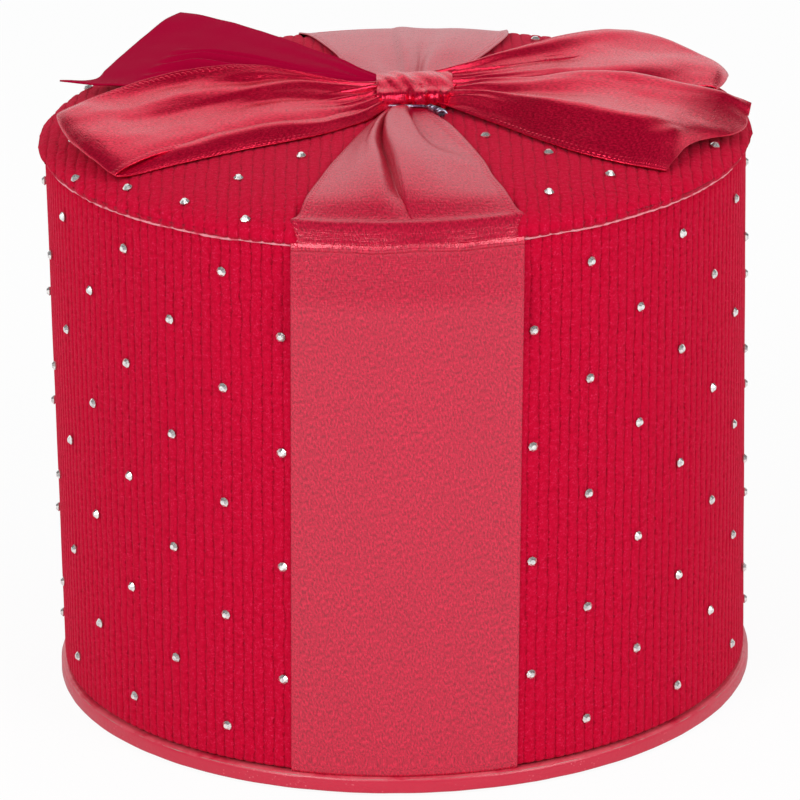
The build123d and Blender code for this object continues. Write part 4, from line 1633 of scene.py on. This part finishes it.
class GIFTBOX_OT_studio(bpy.types.Operator):
    """Set the pale floor, the soft lamps and the camera"""

    bl_idname = "giftbox.studio"
    bl_label = "Studio"

    def execute(self, context):
        self.add_floor(context)
        settings = studio()
        world = bpy.data.worlds.new("studio_room")
        context.scene.world = world
        paint_world(world, settings.ambient)
        self.add_lamp(context, "key_lamp", key_place, settings.key_power)
        self.add_lamp(context, "fill_lamp", fill_place, settings.fill_power)
        self.add_camera(context, settings)
        context.scene.view_settings.view_transform = "Standard"
        return {"FINISHED"}

    def add_floor(self, context):
        bm = bmesh.new()
        bmesh.ops.create_grid(bm, x_segments=2, y_segments=2, size=floor_reach)
        mesh = bpy.data.meshes.new("floor")
        bm.to_mesh(mesh)
        bm.free()
        floor_sheet = bpy.data.objects.new("floor", mesh)
        context.scene.collection.objects.link(floor_sheet)
        finish = Finish("floor", Specular_IOR_Level=0.0, Roughness=1.0)
        grain = finish.grain(finish.space(), 300.0, 2.0)
        finish.feed("Base Color", finish.blend(grain, (0.9, 0.9, 0.9, 1), (0.93, 0.93, 0.93, 1)))
        glow = finish.node("ShaderNodeEmission", values={"Strength": 1.0})
        camera_ray = finish.node("ShaderNodeLightPath").out("Is Camera Ray")
        mixed = finish.node("ShaderNodeMixShader", values={0: camera_ray * 0.93, 2: glow})
        finish.tree.links.new(finish.shader.outputs[0], mixed.socket.node.inputs[1])
        finish.tree.links.new(mixed.socket, finish.tree.nodes["Material Output"].inputs["Surface"])
        mesh.materials.append(finish.material)

    def add_lamp(self, context, name, spot, power):
        lamp = bpy.data.lights.new(name, "AREA")
        lamp.shape = "SQUARE"
        lamp.size = lamp_width
        lamp.energy = power
        holder = bpy.data.objects.new(name, lamp)
        holder.location = spot
        aim = Vector((0, 0, seam_height / 2)) - spot
        holder.rotation_euler = aim.to_track_quat("-Z", "Y").to_euler()
        context.scene.collection.objects.link(holder)

    def add_camera(self, context, settings):
        camera = bpy.data.cameras.new("studio_camera")
        camera.lens = settings.lens
        camera.clip_start = 0.05
        camera.clip_end = 20
        holder = bpy.data.objects.new("studio_camera", camera)
        forward = Vector((0, cos(settings.camera_pitch), -sin(settings.camera_pitch)))
        right = Vector((1, 0, 0))
        top = right.cross(forward)
        roll = settings.camera_roll
        rolled_right = right * cos(roll) + top * sin(roll)
        rolled_top = top * cos(roll) - right * sin(roll)
        turn = Matrix((rolled_right, rolled_top, -forward)).transposed()
        spot = Vector((0, -settings.camera_distance, settings.camera_height))
        holder.matrix_world = Matrix.Translation(spot) @ turn.to_4x4()
        context.scene.collection.objects.link(holder)
        context.scene.camera = holder


class GIFTBOX_PT_panel(bpy.types.Panel):
    """Lists the steps that dress the box"""

    bl_idname = "GIFTBOX_PT_panel"
    bl_label = "Gift Box"
    bl_space_type = "VIEW_3D"
    bl_region_type = "UI"
    bl_category = "Gift Box"

    def draw(self, context):
        for group in (sizes(), colours(), studio()):
            box = self.layout.box()
            for name in group.__annotations__:
                box.prop(group, name)
        for operator in operators:
            self.layout.operator(operator.bl_idname)


operators = (
    GIFTBOX_OT_studio,
    GIFTBOX_OT_plain_finishes,
    GIFTBOX_OT_base,
    GIFTBOX_OT_wall_cover,
    GIFTBOX_OT_top_padding,
    GIFTBOX_OT_top_cover,
    GIFTBOX_OT_seam_edge,
    GIFTBOX_OT_stones,
    GIFTBOX_OT_cross_ribbon,
    GIFTBOX_OT_bow,
    GIFTBOX_OT_knot,
    GIFTBOX_OT_tie_wire,
)
groups = (GiftBoxSizes, GiftBoxColours, GiftBoxStudio)


def register():
    for item in (*groups, *operators, GIFTBOX_PT_panel):
        bpy.utils.register_class(item)
    bpy.types.Scene.gift_box_sizes = PointerProperty(type=GiftBoxSizes)
    bpy.types.Scene.gift_box_colours = PointerProperty(type=GiftBoxColours)
    bpy.types.Scene.gift_box_studio = PointerProperty(type=GiftBoxStudio)


def unregister():
    del bpy.types.Scene.gift_box_studio
    del bpy.types.Scene.gift_box_colours
    del bpy.types.Scene.gift_box_sizes
    for item in (GIFTBOX_PT_panel, *reversed(operators), *reversed(groups)):
        bpy.utils.unregister_class(item)


def main():
    register()
    bpy.ops.giftbox.studio()
    bpy.ops.giftbox.plain_finishes()
    bpy.ops.giftbox.base()
    bpy.ops.giftbox.wall_cover()
    bpy.ops.giftbox.top_padding()
    bpy.ops.giftbox.top_cover()
    bpy.ops.giftbox.seam_edge()
    bpy.ops.giftbox.stones()
    bpy.ops.giftbox.cross_ribbon()
    bpy.ops.giftbox.bow()
    bpy.ops.giftbox.knot()
    bpy.ops.giftbox.tie_wire()


if __name__ == "__main__":
    main()
